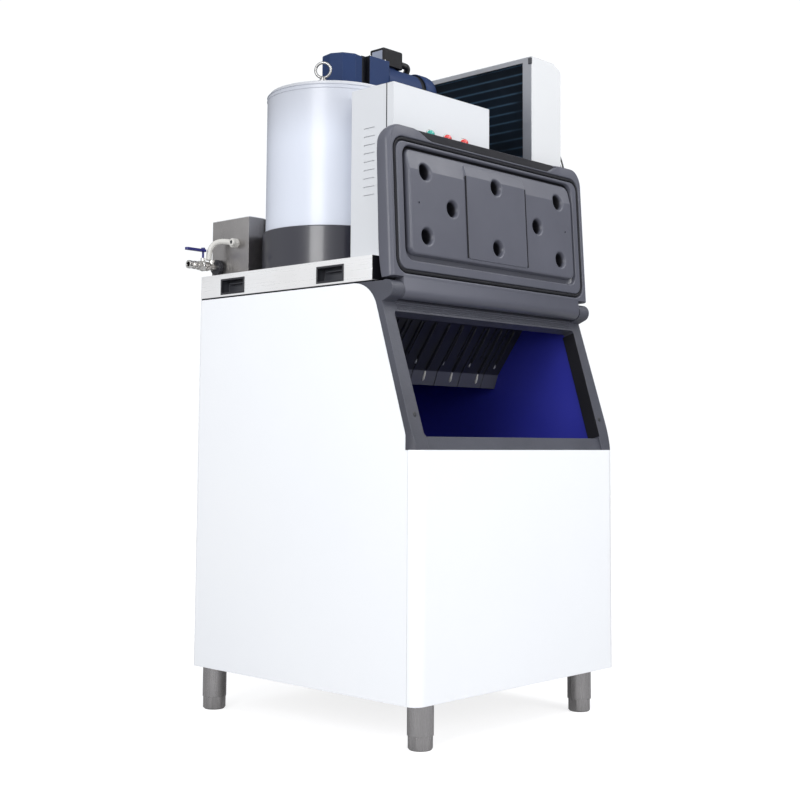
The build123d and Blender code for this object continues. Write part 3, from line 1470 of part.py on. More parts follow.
def build_parts():
    legs = ["front_left", "front_right", "rear_left", "rear_right"]
    parts = {
        "floor_pan": floor_pan(),
        "front_panel": front_panel(),
        "side_panel_left": side_panel(-1),
        "side_panel_right": side_panel(1),
        "back_panel": back_panel(),
        "top_deck": top_deck(),
        "bin_insulation": bin_insulation(),
        "bin_liner": bin_liner(),
        "door_frame": door_frame(),
        "door": door(),
        "door_gasket": door_gasket(),
        "hinge_pins": hinge_pins(),
        "ice_baffle": ice_baffle(),
        "tray_gasket": tray_gasket(),
        "base_tray": base_tray(),
        "drum_base": drum_base(),
        "drum_shell": drum_shell(),
        "drum_insulation": drum_insulation(),
        "evaporator_cylinder": evaporator_cylinder(),
        "drum_lid": drum_lid(),
        "lifting_eyes": lifting_eyes(),
        "spindle": spindle(),
        "ice_cutter": ice_cutter(),
        "water_distributor": water_distributor(),
        "bearing_spider": bearing_spider(),
        "gearbox_housing": gearbox_housing(),
        "motor_body": motor_body(),
        "fan_cowl": fan_cowl(),
        "terminal_box": terminal_box(),
        "motor_conduit": motor_conduit(),
        "control_box_body": control_box_body(),
        "control_box_cover": control_box_cover(),
        "pilot_lamps": pilot_lamps(),
        "compressor": compressor(),
        "receiver": receiver(),
        "condenser_coil": condenser_coil(),
        "coil_frame": coil_frame(),
        "condenser_shroud": condenser_shroud(),
        "condenser_fan": condenser_fan(),
        "fan_motor": fan_motor(),
        "fan_guard": fan_guard(),
        "refrigerant_pipes": refrigerant_pipes(),
        "water_tank": water_tank(),
        "tank_lid": tank_lid(),
        "tank_bulkhead": tank_bulkhead(),
        "valve_body": valve_body(),
        "valve_lever": valve_lever(),
        "inlet_hose": inlet_hose(),
        "float_seat": float_seat(),
        "float_arm": float_arm(),
        "water_pump": water_pump(),
        "supply_pipe": supply_pipe(),
    }
    for name, (x, y) in zip(legs, leg_places()):
        parts["leg_" + name] = leg(x, y)
        parts["foot_" + name] = foot(x, y)
    return parts


os.makedirs("parts", exist_ok=True)
for node, shape in build_parts().items():
    export_step(placed(shape), "parts/" + node + ".step")
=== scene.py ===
# %% [markdown]
# # Dressing a flake ice machine
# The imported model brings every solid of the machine, in metres, in its right place. This lesson
# gives each of them a real finish and adds what solids leave out: moulded edges, fins, wires,
# screws and slot rims. Load the frame first, because each later step asks it for sizes.

# %% Load the frame and keep its box
import math

import bmesh
import bpy
from mathutils import Matrix, Vector
from mathutils.geometry import delaunay_2d_cdt


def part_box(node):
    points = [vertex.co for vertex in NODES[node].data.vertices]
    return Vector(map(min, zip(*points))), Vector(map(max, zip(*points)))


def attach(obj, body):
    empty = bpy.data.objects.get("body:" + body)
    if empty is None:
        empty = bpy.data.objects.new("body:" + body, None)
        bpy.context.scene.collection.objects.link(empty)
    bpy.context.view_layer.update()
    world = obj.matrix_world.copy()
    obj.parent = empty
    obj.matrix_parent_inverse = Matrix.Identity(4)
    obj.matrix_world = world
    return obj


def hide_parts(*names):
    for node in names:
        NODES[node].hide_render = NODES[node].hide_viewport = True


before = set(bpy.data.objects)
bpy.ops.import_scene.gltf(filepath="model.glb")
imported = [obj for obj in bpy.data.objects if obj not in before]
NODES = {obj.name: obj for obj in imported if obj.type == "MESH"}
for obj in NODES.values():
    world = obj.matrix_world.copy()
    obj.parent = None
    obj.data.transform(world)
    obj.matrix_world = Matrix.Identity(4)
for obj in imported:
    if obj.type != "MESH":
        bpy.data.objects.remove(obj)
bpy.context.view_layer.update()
MM = 0.001

# %% [markdown]
# The model's own origin is under the middle of its outline, but the machine is easier to think
# about from the middle of its bin. `bin_x` is that middle, and `at` turns millimetres measured
# from there into the frame's metres.

# %% From the bin's middle to the frame
left_panel, right_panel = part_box("side_panel_left"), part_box("side_panel_right")
bin_x = (left_panel[0][0] + right_panel[1][0]) / 2
print("bin middle at x = %.4f m" % bin_x)


def at(x, y, z):
    """A point in millimetres from the bin's middle, in the frame's metres."""
    return Vector((bin_x + x * MM, y * MM, z * MM))


# %% [markdown]
# The door swings about one axis and stands open with a small lean. Its finish, its mesh and the
# frame's trim all start from that axis, so it is named once.

# %% The door's hinge axis
DOOR_LEAN = math.radians(3.09)
HINGE_Y, HINGE_Z = -288.0, 1024.0
print("hinge axis at", tuple(round(value, 4) for value in at(0, HINGE_Y, HINGE_Z)))

# %% [markdown]
# ## Shared effects
# Paint, moulded plastic and brushed steel differ in a few effects only: gloss that is never
# quite even, colour that drifts a little, fine lines from the brush, a moulded grain, and
# edges that catch the light. Each effect is a node group, built once, and each material
# places it with its own values.

# %% A helper that starts a node group
FLOAT, COLOUR, VECTOR = "NodeSocketFloat", "NodeSocketColor", "NodeSocketVector"


def name_inputs(tree, inputs):
    """Named inputs for a group; the kind of each follows from its value."""
    for label, value in inputs.items():
        if isinstance(value, tuple):
            kind = COLOUR if len(value) == 4 else VECTOR
        else:
            kind = FLOAT if isinstance(value, float) else "NodeSocketInt"
        socket = tree.interface.new_socket(name=label, in_out="INPUT", socket_type=kind)
        socket.default_value = value


def effect(name, inputs, outputs):
    tree = bpy.data.node_groups.new(name, "ShaderNodeTree")
    name_inputs(tree, inputs)
    for label, kind in outputs.items():
        tree.interface.new_socket(name=label, in_out="OUTPUT", socket_type=kind)
    start = tree.nodes.new("NodeGroupInput")
    end = tree.nodes.new("NodeGroupOutput")
    return tree, start.outputs, end.inputs


def add(tree, kind, links=(), **values):
    """A node with its values set and its inputs linked."""
    node = tree.nodes.new(kind)
    for key, value in values.items():
        setattr(node, key, value)
    for socket, source in links:
        if isinstance(source, bpy.types.NodeSocket):
            tree.links.new(source, node.inputs[socket])
        else:
            node.inputs[socket].default_value = source
    return node


# %% Short calls for the nodes that come up most
def spread(tree, value, start, end, low=0.0, high=1.0, smooth=False):
    """A value moved from one range to another, and held at both ends."""
    links = [("Value", value), ("From Min", start), ("From Max", end), ("To Min", low),
             ("To Max", high)]
    return add(tree, "ShaderNodeMapRange", links,
               interpolation_type="SMOOTHSTEP" if smooth else "LINEAR").outputs["Result"]


def figure(tree, operation, first, second, **settings):
    """The result of a math node."""
    return add(tree, "ShaderNodeMath", [(0, first), (1, second)], operation=operation,
               **settings).outputs[0]


def noise(tree, vector, scale, detail=2.0, rough=0.5):
    return add(tree, "ShaderNodeTexNoise", [("Vector", vector), ("Scale", scale),
                                            ("Detail", detail), ("Roughness", rough)]
               ).outputs["Fac"]


def blend(tree, mask, first, second):
    """A colour that turns into a second one where the mask is."""
    return add(tree, "ShaderNodeMix", [(0, mask), (6, first), (7, second)],
               data_type="RGBA").outputs[2]


# %% Uneven gloss and drifting colour
def build_uneven():
    """A value that wanders between two limits over the surface."""
    tree, take, give = effect("Uneven Value", {"Vector": (0, 0, 0), "Scale": 5.0, "Least": 0.3,
                                               "Most": 0.5}, {"Value": FLOAT})
    cloud = noise(tree, take["Vector"], take["Scale"], 4.0, 0.55)
    tree.links.new(spread(tree, cloud, 0.3, 0.7, take["Least"], take["Most"]), give["Value"])
    return tree


def build_drift():
    """A colour that drifts towards a second one in soft patches."""
    tree, take, give = effect("Drifting Colour", {"Vector": (0, 0, 0), "Scale": 3.0,
                                                  "Colour": (0.8, 0.8, 0.8, 1),
                                                  "Other": (0.7, 0.7, 0.7, 1), "Amount": 0.5},
                              {"Colour": COLOUR})
    cloud = noise(tree, take["Vector"], take["Scale"], 6.0, 0.6)
    mask = spread(tree, cloud, 0.35, 0.75, 0.0, take["Amount"])
    tree.links.new(blend(tree, mask, take["Colour"], take["Other"]), give["Colour"])
    return tree


UNEVEN, DRIFT = build_uneven(), build_drift()


# %% Brushed lines
def build_brushed():
    """Fine parallel lines: a noise that is squeezed across the lines and drawn out along them."""
    tree, take, give = effect("Brushed Lines", {"Vector": (0, 0, 0), "Squeeze": (2, 2, 600)},
                              {"Lines": FLOAT})
    squeezed = add(tree, "ShaderNodeVectorMath", [(0, take["Vector"]), (1, take["Squeeze"])],
                   operation="MULTIPLY")
    tree.links.new(noise(tree, squeezed.outputs[0], 1.0, 5.0, 0.75), give["Lines"])
    return tree


# %% Moulded grain
def build_grain():
    """The leather-like skin of a moulded part: small rounded cells on a slow swell."""
    tree, take, give = effect("Moulded Grain", {"Vector": (0, 0, 0), "Cells": 900.0},
                              {"Height": FLOAT})
    cells = add(tree, "ShaderNodeTexVoronoi",
                [("Vector", take["Vector"]), ("Scale", take["Cells"])], feature="SMOOTH_F1")
    swell = noise(tree, take["Vector"], 260.0, 4.0)
    tree.links.new(figure(tree, "ADD", cells.outputs["Distance"], swell), give["Height"])
    return tree


# %% Edges that catch the light
def build_edges():
    """A mask of convex and concave edges: where a softened normal leaves the true one."""
    tree, take, give = effect("Edge Mask", {"Radius": 0.0015, "Gain": 4.0},
                              {"Mask": FLOAT, "Normal": VECTOR})
    soft = add(tree, "ShaderNodeBevel", [("Radius", take["Radius"])], samples=6)
    shape = add(tree, "ShaderNodeNewGeometry")
    dot = add(tree, "ShaderNodeVectorMath", [(0, soft.outputs[0]), (1, shape.outputs["Normal"])],
              operation="DOT_PRODUCT")
    away = figure(tree, "SUBTRACT", 1.0, dot.outputs["Value"])
    mask = figure(tree, "MULTIPLY", away, take["Gain"], use_clamp=True)
    tree.links.new(mask, give["Mask"])
    tree.links.new(soft.outputs[0], give["Normal"])
    return tree


BRUSHED, GRAIN, EDGES = build_brushed(), build_grain(), build_edges()
print("effects", [group.name for group in bpy.data.node_groups])

# %% [markdown]
# ## Finishes
# A finish starts as a plain surface shader. `Finish` keeps its tree at hand and offers the
# shared effects as short calls, so that each finish below reads as a list of what it has.


# %% The start of every finish
class Finish:
    def __init__(self, name, rough=0.5, metal=0.0, coat=0.0, coat_rough=0.1, specular=0.5):
        self.material = bpy.data.materials.new(name)
        self.material.use_nodes = True
        self.tree = self.material.node_tree
        self.shader = self.tree.nodes["Principled BSDF"]
        for socket, value in (("Roughness", rough), ("Metallic", metal), ("Coat Weight", coat),
                              ("Coat Roughness", coat_rough), ("Specular IOR Level", specular)):
            self.shader.inputs[socket].default_value = value
        self.place = add(self.tree, "ShaderNodeTexCoord").outputs["Object"]
        self.normal = None
        print("finish", name)

    def axis(self, name):
        """How far along X, Y or Z a point lies."""
        return add(self.tree, "ShaderNodeSeparateXYZ", [(0, self.place)]).outputs[name]

    def group(self, tree, **values):
        node = self.tree.nodes.new("ShaderNodeGroup")
        node.node_tree = tree
        if "Vector" in node.inputs:
            self.tree.links.new(self.place, node.inputs["Vector"])
        for label, value in values.items():
            node.inputs[label].default_value = value
        return node.outputs

    def into(self, socket, source):
        self.tree.links.new(source, self.shader.inputs[socket])
        return self

    def drift(self, colour, other, scale=3.0, amount=1.0):
        self.colour = self.group(DRIFT, Colour=(*colour, 1), Other=(*other, 1), Scale=scale,
                                 Amount=amount)["Colour"]
        return self.into("Base Color", self.colour)

    def gloss(self, least, most, scale=6.0):
        return self.into("Roughness", self.group(UNEVEN, Scale=scale, Least=least,
                                                 Most=most)["Value"])

    def soft_edges(self, radius=0.0012):
        self.edge = self.group(EDGES, Radius=radius)
        self.normal = self.edge["Normal"]
        return self.into("Normal", self.normal)

    def bump(self, height, strength, distance=0.0005):
        links = [("Height", height), ("Strength", strength), ("Distance", distance)]
        if self.normal is not None:
            links.append(("Normal", self.normal))
        self.normal = add(self.tree, "ShaderNodeBump", links).outputs["Normal"]
        return self.into("Normal", self.normal)

    def mix(self, mask, colour):
        """Lays a second colour over the first where the mask is."""
        self.colour = blend(self.tree, mask, self.colour, (*colour, 1))
        return self.into("Base Color", self.colour)


# %% [markdown]
# Sheet-metal panels have a powder coat: white, with a faint orange-peel skin that only shows
# in reflections. The drum's coat is smoother and a shade bluer, and greys towards its rim with
# painted shade. The gear housing and the motor share a dark blue enamel, each with a black
# stretch of painted shade in the neck where its parts meet: one mask along X does that.


# %% Painted finishes
def powder_coat(name, colour, other, rough=(0.32, 0.42), peel=0.05, coat=0.2):
    finish = Finish(name, coat=coat, coat_rough=0.12)
    finish.drift(colour, other, scale=2.2, amount=0.6).gloss(*rough, scale=9.0)
    finish.soft_edges(0.0012)
    return finish.bump(noise(finish.tree, finish.place, 420.0), peel, 0.0004)


PANEL_WHITE = powder_coat("white panel coat", (0.86, 0.875, 0.90), (0.83, 0.85, 0.885)).material
BOX_WHITE = powder_coat("control box coat", (0.61, 0.625, 0.65), (0.585, 0.60, 0.63),
                        rough=(0.42, 0.55), peel=0.12, coat=0.0).material
SHROUD_WHITE = powder_coat("condenser hood coat", (0.63, 0.64, 0.655), (0.6, 0.615, 0.635),
                           rough=(0.4, 0.5), peel=0.08, coat=0.05).material
LID_WHITE = powder_coat("drum lid coat", (0.5, 0.51, 0.54), (0.46, 0.475, 0.51),
                        rough=(0.34, 0.42), peel=0.03, coat=0.1).material


def drum_coat():
    """White enamel that greys towards the rim with painted shade."""
    finish = powder_coat("drum coat", (0.62, 0.655, 0.74), (0.59, 0.625, 0.72), rough=(0.3, 0.38),
                         peel=0.02, coat=0.12)
    # The grey mixed in towards the top rim is painted shade.
    dull = spread(finish.tree, finish.axis("Z"), at(0, 0, 1400).z, at(0, 0, 1560).z, high=0.7,
                  smooth=True)
    return finish.mix(dull, (0.4, 0.415, 0.46)).material


DRUM_WHITE = drum_coat()


def gear_enamel(name, painted_shade_from, painted_shade_to):
    """Blue enamel with one black stretch of painted shade along X, and a painted highlight along
    its edges.
    """
    finish = Finish(name, rough=0.4, specular=0.14)
    finish.drift((0.012, 0.028, 0.09), (0.016, 0.034, 0.1), scale=2.2).gloss(0.4, 0.52, 9.0)
    finish.soft_edges(0.0016)
    # The paler colour along the edges is a painted highlight.
    finish.mix(finish.edge["Mask"], (0.07, 0.1, 0.18))
    # The black stretch along X is painted shade in the neck where the parts meet.
    tree, along = finish.tree, finish.axis("X")
    after = figure(tree, "GREATER_THAN", along, at(painted_shade_from, 0, 0).x)
    before = figure(tree, "LESS_THAN", along, at(painted_shade_to, 0, 0).x)
    finish.mix(figure(tree, "MULTIPLY", after, before), (0.008, 0.009, 0.013))
    return finish.bump(noise(tree, finish.place, 420.0), 0.1, 0.0004).material


GEAR_BLUE = gear_enamel("gear blue enamel", -146.0, -115.8)
MOTOR_BLUE = gear_enamel("motor blue enamel", 84.0, 97.3)
CAN_BLACK = powder_coat("black enamel", (0.012, 0.012, 0.014), (0.02, 0.02, 0.022),
                        rough=(0.25, 0.36), peel=0.06, coat=0.3).material
GUARD_BLACK = powder_coat("dipped wire black", (0.014, 0.014, 0.016), (0.022, 0.022, 0.024),
                          rough=(0.35, 0.45), peel=0.05, coat=0.1).material

# %% [markdown]
# The door, its frame and the baffle are moulded plastic with a fine grain. Grain scatters
# light, so the gloss stays low, and a paler colour along the edges paints the highlight they
# catch.


# %% Moulded finishes
def moulded(name, colour, other, rough=(0.42, 0.56), grain=0.25, cells=900.0, edge_highlight=None,
            specular=0.5):
    finish = Finish(name, specular=specular)
    finish.drift(colour, other, scale=5.0, amount=0.8).gloss(*rough, scale=14.0)
    finish.soft_edges(0.0016)
    # A paler colour laid along the edges is a painted highlight.
    if edge_highlight is not None:
        finish.mix(finish.edge["Mask"], edge_highlight)
    skin = finish.group(GRAIN, Cells=cells)
    return finish.bump(skin["Height"], grain, 0.0004)


# The paler edge colour of the charcoal plastics is a painted highlight.
CHARCOAL = {"colour": (0.084, 0.087, 0.112), "other": (0.068, 0.071, 0.092),
            "rough": (0.36, 0.46), "grain": 0.1, "edge_highlight": (0.13, 0.135, 0.165)}
DOOR_GREY = moulded("charcoal door plastic", **CHARCOAL).material

# %% [markdown]
# Two skins change over their part. The door's dimples and channel are deep, and painted shade
# makes them darker than its face: a mask measures how far a point lies along the door's own
# directions. The baffle's lip under its bend is painted paler, as painted light.


# %% Skins with a darker or a paler zone
def door_skin():
    """The door's plastic, with painted shade in the channel and darker painted shade in the
    dimples.
    """
    finish = moulded("charcoal door skin", **CHARCOAL)
    hinge = at(0, HINGE_Y, HINGE_Z)
    out = (0, -math.cos(DOOR_LEAN), math.sin(DOOR_LEAN))
    up = (0, math.sin(DOOR_LEAN), math.cos(DOOR_LEAN))
    floor = (out, (-15.6, -14.4))
    channel = ((out, (14, 5)), floor, (up, (66, 70)), (up, (344, 341)),
               ((1, 0, 0), (-333, -329)), ((1, 0, 0), (333, 329)))
    dimples = ((out, (20, 12)), floor, (up, (100, 104)), (up, (314, 310)),
               ((1, 0, 0), (-292, -288)), ((1, 0, 0), (292, 288)))
    for limits in (channel, dimples):
        mask = 1.0
        for axis, (start, end) in limits:
            along = add(finish.tree, "ShaderNodeVectorMath", [(0, finish.place), (1, axis)],
                        operation="DOT_PRODUCT").outputs["Value"]
            zero = hinge.dot(Vector(axis))
            part = spread(finish.tree, along, zero + start * MM, zero + end * MM, smooth=True)
            mask = figure(finish.tree, "MULTIPLY", mask, part)
        # The dark colour laid over the channel and the dimples is painted shade.
        finish.mix(mask, (0.005, 0.005, 0.008))
    return finish.material


BAFFLE_BEND_Z = 866.0


def baffle_skin():
    """Near black, with the lip under the bend painted paler as painted light."""
    finish = moulded("ribbed baffle skin", (0.018, 0.019, 0.025), (0.013, 0.014, 0.018),
                     rough=(0.35, 0.5), grain=0.15)
    bend = at(0, 0, BAFFLE_BEND_Z).z
    # The paler lip colour is painted light on a part that lies in shade.
    lip = spread(finish.tree, finish.axis("Z"), bend + 0.001, bend - 0.002, smooth=True)
    return finish.mix(lip, (0.075, 0.078, 0.1)).material


DOOR_SKIN, BAFFLE_SKIN = door_skin(), baffle_skin()

# %% Plastics and rubber of one colour
TERMINAL_BLACK = moulded("terminal box plastic", (0.007, 0.007, 0.009), (0.012, 0.012, 0.014),
                         rough=(0.5, 0.62), grain=0.1, specular=0.2).material
HIGHLIGHT_NIB_GREY = moulded("pale highlight nib plastic", (0.34, 0.35, 0.38), (0.26, 0.27, 0.3),
                   rough=(0.4, 0.5), grain=0.05).material
PLATE_GREY = moulded("blank plate", (0.30, 0.33, 0.42), (0.22, 0.25, 0.33),
                     rough=(0.3, 0.4), grain=0.03).material
FRAME_GREY = moulded("charcoal frame plastic", (0.06, 0.063, 0.082), (0.03, 0.031, 0.042),
                     rough=(0.42, 0.56), grain=0.9, cells=420.0,
                     edge_highlight=(0.11, 0.115, 0.145)).material
BAFFLE_BLACK = moulded("baffle plastic", (0.018, 0.019, 0.025), (0.013, 0.014, 0.018),
                       rough=(0.35, 0.5), grain=0.15, edge_highlight=(0.06, 0.063, 0.075)).material
BASE_BLACK = moulded("satin black plastic", (0.02, 0.02, 0.026), (0.014, 0.014, 0.019),
                     rough=(0.3, 0.4), grain=0.06).material
BAND_BLACK = powder_coat("drum band enamel", (0.016, 0.016, 0.027), (0.011, 0.011, 0.02),
                         rough=(0.3, 0.36), peel=0.02, coat=0.5).material
GRIP_BLACK = moulded("soft grip", (0.006, 0.006, 0.009), (0.014, 0.014, 0.018),
                     rough=(0.6, 0.75), grain=0.5, cells=700.0, specular=0.2).material
SLOT_GREY = moulded("slot lining", (0.05, 0.052, 0.062), (0.036, 0.038, 0.046),
                    rough=(0.35, 0.5), grain=0.05).material
RUBBER = moulded("black rubber", (0.004, 0.004, 0.007), (0.008, 0.008, 0.012),
                 rough=(0.6, 0.75), grain=0.2, cells=1500.0, specular=0.3).material
LINER_BLUE = moulded("deep blue liner", (0.027, 0.032, 0.34), (0.023, 0.027, 0.3),
                     rough=(0.4, 0.5), grain=0.05).material
PALE_PLASTIC = moulded("pale plastic", (0.62, 0.61, 0.58), (0.56, 0.55, 0.52),
                       rough=(0.35, 0.5), grain=0.05).material
LEVER_BLUE = moulded("dipped blue lever", (0.02, 0.02, 0.16), (0.015, 0.015, 0.12),
                     rough=(0.25, 0.35), grain=0.04).material
FOAM = moulded("cut foam", (0.72, 0.66, 0.45), (0.62, 0.55, 0.36), rough=(0.8, 0.95),
               grain=0.9, cells=400.0).material

# %% [markdown]
# Stainless sheet is brushed: it reflects in streaks along one direction. The lines go into
# the roughness, so a highlight breaks up into threads, and a very small bump.


# %% Brushed and plated metals
def brushed(name, colour, other, squeeze, rough=(0.2, 0.42), depth=0.12, metal=1.0):
    finish = Finish(name, metal=metal)
    finish.drift(colour, other, scale=4.0, amount=0.9)
    lines = finish.group(BRUSHED, Squeeze=squeeze)["Lines"]
    finish.into("Roughness", spread(finish.tree, lines, 0.3, 0.7, *rough))
    finish.soft_edges(0.0009)
    return finish.bump(lines, depth, 0.0002)


TRAY_STEEL = brushed("brushed tray steel", (0.97, 0.97, 0.975), (0.9, 0.89, 0.885),
                     (3, 3, 900), rough=(0.24, 0.4), metal=0.72).material
TANK_STEEL = brushed("dull tank steel", (0.40, 0.385, 0.38), (0.22, 0.21, 0.21),
                     (420, 420, 3), rough=(0.22, 0.46), depth=0.2).material
LEG_STEEL = brushed("leg steel", (0.46, 0.445, 0.44), (0.37, 0.36, 0.36),
                    (500, 500, 5), rough=(0.16, 0.34)).material
INNER_STEEL = brushed("machined steel", (0.60, 0.61, 0.63), (0.5, 0.51, 0.53),
                      (20, 20, 500), rough=(0.18, 0.34)).material
ZINC = brushed("zinc sheet", (0.42, 0.43, 0.46), (0.34, 0.35, 0.38), (60, 60, 60),
               rough=(0.3, 0.48), depth=0.05).material
NICKEL = brushed("nickel plate", (0.62, 0.61, 0.59), (0.5, 0.49, 0.47), (90, 90, 90),
                 rough=(0.14, 0.3), depth=0.05).material
EYE_STEEL = brushed("forged eye steel", (0.34, 0.335, 0.33), (0.2, 0.2, 0.2), (90, 90, 90),
                    rough=(0.2, 0.36), depth=0.05).material
COPPER = brushed("drawn copper", (0.55, 0.27, 0.16), (0.38, 0.2, 0.13), (60, 60, 60),
                 rough=(0.22, 0.45), depth=0.06).material

# %% [markdown]
# The coil's fins are coated aluminium, nearly black from the side. Where a tube passes, the
# fins' collars catch the light in a thin blue line; the finish paints that highlight as a line
# repeated with the tubes' own pitch, brighter towards the top.


# %% Coated fins
def coated_fins():
    """Nearly black, with the collars' blue lines as painted highlights, brighter at the top and
    patchy.
    """
    finish = Finish("blue coated fins", rough=0.42, specular=0.35)
    finish.drift((0.009, 0.018, 0.032), (0.004, 0.008, 0.016), scale=9.0)
    tree, up = finish.tree, finish.axis("Z")
    half_pitch = 0.0125
    folded = figure(tree, "PINGPONG", figure(tree, "ADD", up, 0.0095), half_pitch)
    # The blue collar lines are painted highlights, stronger towards the top.
    collar_highlight = spread(tree, folded, 0.0, 0.004, 0.8, 0.0, smooth=True)
    high = spread(tree, up, at(0, 0, 1250).z, at(0, 0, 1640).z, smooth=True)
    patchy = spread(tree, noise(tree, finish.place, 7.0), 0.3, 0.55, smooth=True)
    painted_highlight_strength = figure(tree, "MULTIPLY", high, patchy)
    return finish.mix(figure(tree, "MULTIPLY", collar_highlight, painted_highlight_strength), (0.07, 0.14, 0.22)).material


FIN_BLUE = coated_fins()

# %% [markdown]
# The three pilot lamps are one part, so one finish has to colour all three: the colour
# depends on where along the row a point lies.

# %% Lamp domes
lamp_low, lamp_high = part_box("pilot_lamps")
lamps = Finish("pilot lamp domes", rough=0.12, coat=0.6, specular=0.6)
lamps.drift((0.01, 0.32, 0.26), (0.01, 0.26, 0.22), scale=60.0)
second_lamp = lamp_low[0] + (lamp_high[0] - lamp_low[0]) / 3
LAMP = lamps.mix(figure(lamps.tree, "GREATER_THAN", lamps.axis("X"), second_lamp),
                 (0.55, 0.018, 0.015)).material
print("lamps from x", round(lamp_low[0], 3), "to", round(lamp_high[0], 3))

# %% [markdown]
# ## Dress the solids
# Every node of the frame takes the finish that its real piece has.

# %% Finishes on the nodes
DRESS = {
    "front_panel side_panel_left side_panel_right back_panel": PANEL_WHITE,
    "condenser_shroud": SHROUD_WHITE,
    "control_box_body control_box_cover": BOX_WHITE,
    "drum_shell": DRUM_WHITE,
    "gearbox_housing": GEAR_BLUE,
    "motor_body fan_cowl": MOTOR_BLUE,
    "compressor receiver fan_motor": CAN_BLACK,
    "fan_guard": GUARD_BLACK,
    "ice_baffle": BAFFLE_SKIN,
    "lifting_eyes": EYE_STEEL,
    "drum_lid": LID_WHITE,
    "terminal_box": TERMINAL_BLACK,
    "door": DOOR_GREY,
    "door_frame": FRAME_GREY,
    "condenser_fan": BAFFLE_BLACK,
    "drum_base": BAND_BLACK,
    "tank_bulkhead water_pump motor_conduit": BASE_BLACK,
    "door_gasket tray_gasket": RUBBER,
    "bin_liner": LINER_BLUE,
    "inlet_hose supply_pipe float_seat float_arm": PALE_PLASTIC,
    "valve_lever": LEVER_BLUE,
    "bin_insulation drum_insulation": FOAM,
    "base_tray floor_pan top_deck tank_lid": TRAY_STEEL,
    "water_tank": TANK_STEEL,
    "evaporator_cylinder spindle ice_cutter water_distributor bearing_spider": INNER_STEEL,
    "hinge_pins valve_body": NICKEL,
    "coil_frame": ZINC,
    "refrigerant_pipes": COPPER,
    "pilot_lamps": LAMP,
    "condenser_coil": FIN_BLUE,
}


def dress(name, material):
    mesh = NODES[name].data
    mesh.materials.clear()
    mesh.materials.append(material)


for names, material in DRESS.items():
    for name in names.split():
        dress(name, material)
for corner in ("front_left", "front_right", "rear_left", "rear_right"):
    dress("leg_" + corner, LEG_STEEL)
    dress("foot_" + corner, LEG_STEEL)
print("dressed", sum(bool(node.data.materials) for node in NODES.values()), "of", len(NODES))

# %% [markdown]
# ## Making pieces
# Some real shapes are finer than the solids: moulded rounds, fins, wires, screws. Each becomes
# a mesh of its own with its place in its vertices, so its object stays at the origin. `piece`
# closes the seams, turns the faces outward and tells the frame which body carries it.

# %% From a finished mesh to a piece of the model
CREASE = math.radians(38)


def put(name, data):
    """A new object at the origin, in the scene."""
    made = bpy.data.objects.new(name, data)
    bpy.context.scene.collection.objects.link(made)
    return made


def settle(made, material, body, replaced=(), crease=CREASE):
    """Gives a finished mesh its material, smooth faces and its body."""
    mesh = made.data
    mesh.materials.clear()
    mesh.materials.append(material)
    for face in mesh.polygons:
        face.use_smooth = True
        face.material_index = 0
    mesh.set_sharp_from_angle(angle=crease)
    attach(made, body)
    if replaced:
        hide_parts(*replaced)
    print(made.name, len(mesh.polygons), "faces on", body)
    return made


def piece(name, shape, material, body="cabinet", replaced=(), crease=CREASE):
    """Closes a shape's seams, turns its faces outward and makes it one piece of the model."""
    mesh = bpy.data.meshes.new(name)
    mesh.from_pydata([tuple(point) for point in shape.points], [], shape.faces)
    work = bmesh.new()
    work.from_mesh(mesh)
    bmesh.ops.remove_doubles(work, verts=work.verts, dist=0.00002)
    bmesh.ops.recalc_face_normals(work, faces=work.faces)
    work.to_mesh(mesh)
    work.free()
    return settle(put(name, mesh), material, body, replaced, crease)


# %% Shapes: joined rings, soft blocks and turned parts
def turns(count):
    """The angles of evenly spaced points round a circle."""
    return [2 * math.pi * k / count for k in range(count)]


class Shape:
    """Collects points and faces of several closed forms for one mesh."""

    def __init__(self):
        self.points, self.faces = [], []

    def loops(self, rings, close=True, caps=True):
        """Joins rings of equal length; caps close the first and last ring."""
        first, count = len(self.points), len(rings[0])
        for ring in rings:
            self.points.extend(ring)
        steps = len(rings) if not close else len(rings) - 1
        for level in range(steps):
            low, high = first + level * count, first + (level + 1) % len(rings) * count
            for i in range(count):
                j = (i + 1) % count
                self.faces.append((low + i, low + j, high + j, high + i))
        if close and caps:
            self.faces.append(tuple(range(first, first + count))[::-1])
            self.faces.append(tuple(first + (len(rings) - 1) * count + i for i in range(count)))
        return self

    def box(self, low, high, soft=1.0):
        """A block with chamfered edges, in millimetres from the bin's middle."""
        def ring(inset, z):
            x0, y0, x1, y1 = low[0] + inset, low[1] + inset, high[0] - inset, high[1] - inset
            return [at(x, y, z) for x, y in (
                (x0 + soft, y0), (x1 - soft, y0), (x1, y0 + soft), (x1, y1 - soft),
                (x1 - soft, y1), (x0 + soft, y1), (x0, y1 - soft), (x0, y0 + soft))]
        return self.loops([ring(soft, low[2]), ring(0, low[2] + soft), ring(0, high[2] - soft),
                           ring(soft, high[2])])

    def lathe(self, base, axis, profile, sides=32, close=True):
        """Turns (radius, height) pairs round an axis through `base`."""
        axis = Vector(axis).normalized()
        aside = axis.orthogonal().normalized()
        across = axis.cross(aside)
        rings = [[base + axis * height * MM
                  + (aside * math.cos(turn) + across * math.sin(turn)) * radius * MM
                  for turn in turns(sides)] for radius, height in profile]
        return self.loops(rings, close=close)


# %% [markdown]
# ## The door
# The door is one hollow moulding. Its inside, which faces us while it stands open, has a groove
# for the seal, a deep channel, a drafted plug with a raised middle panel, and eight deep
# dimples where both skins touch. All of it is a height above one flat face, so the mesh is
# planned flat: nested outlines of every feature go into a Delaunay triangulation, and a height
# function then lifts the points. Narrow rings at each edge make real rounds that catch light.

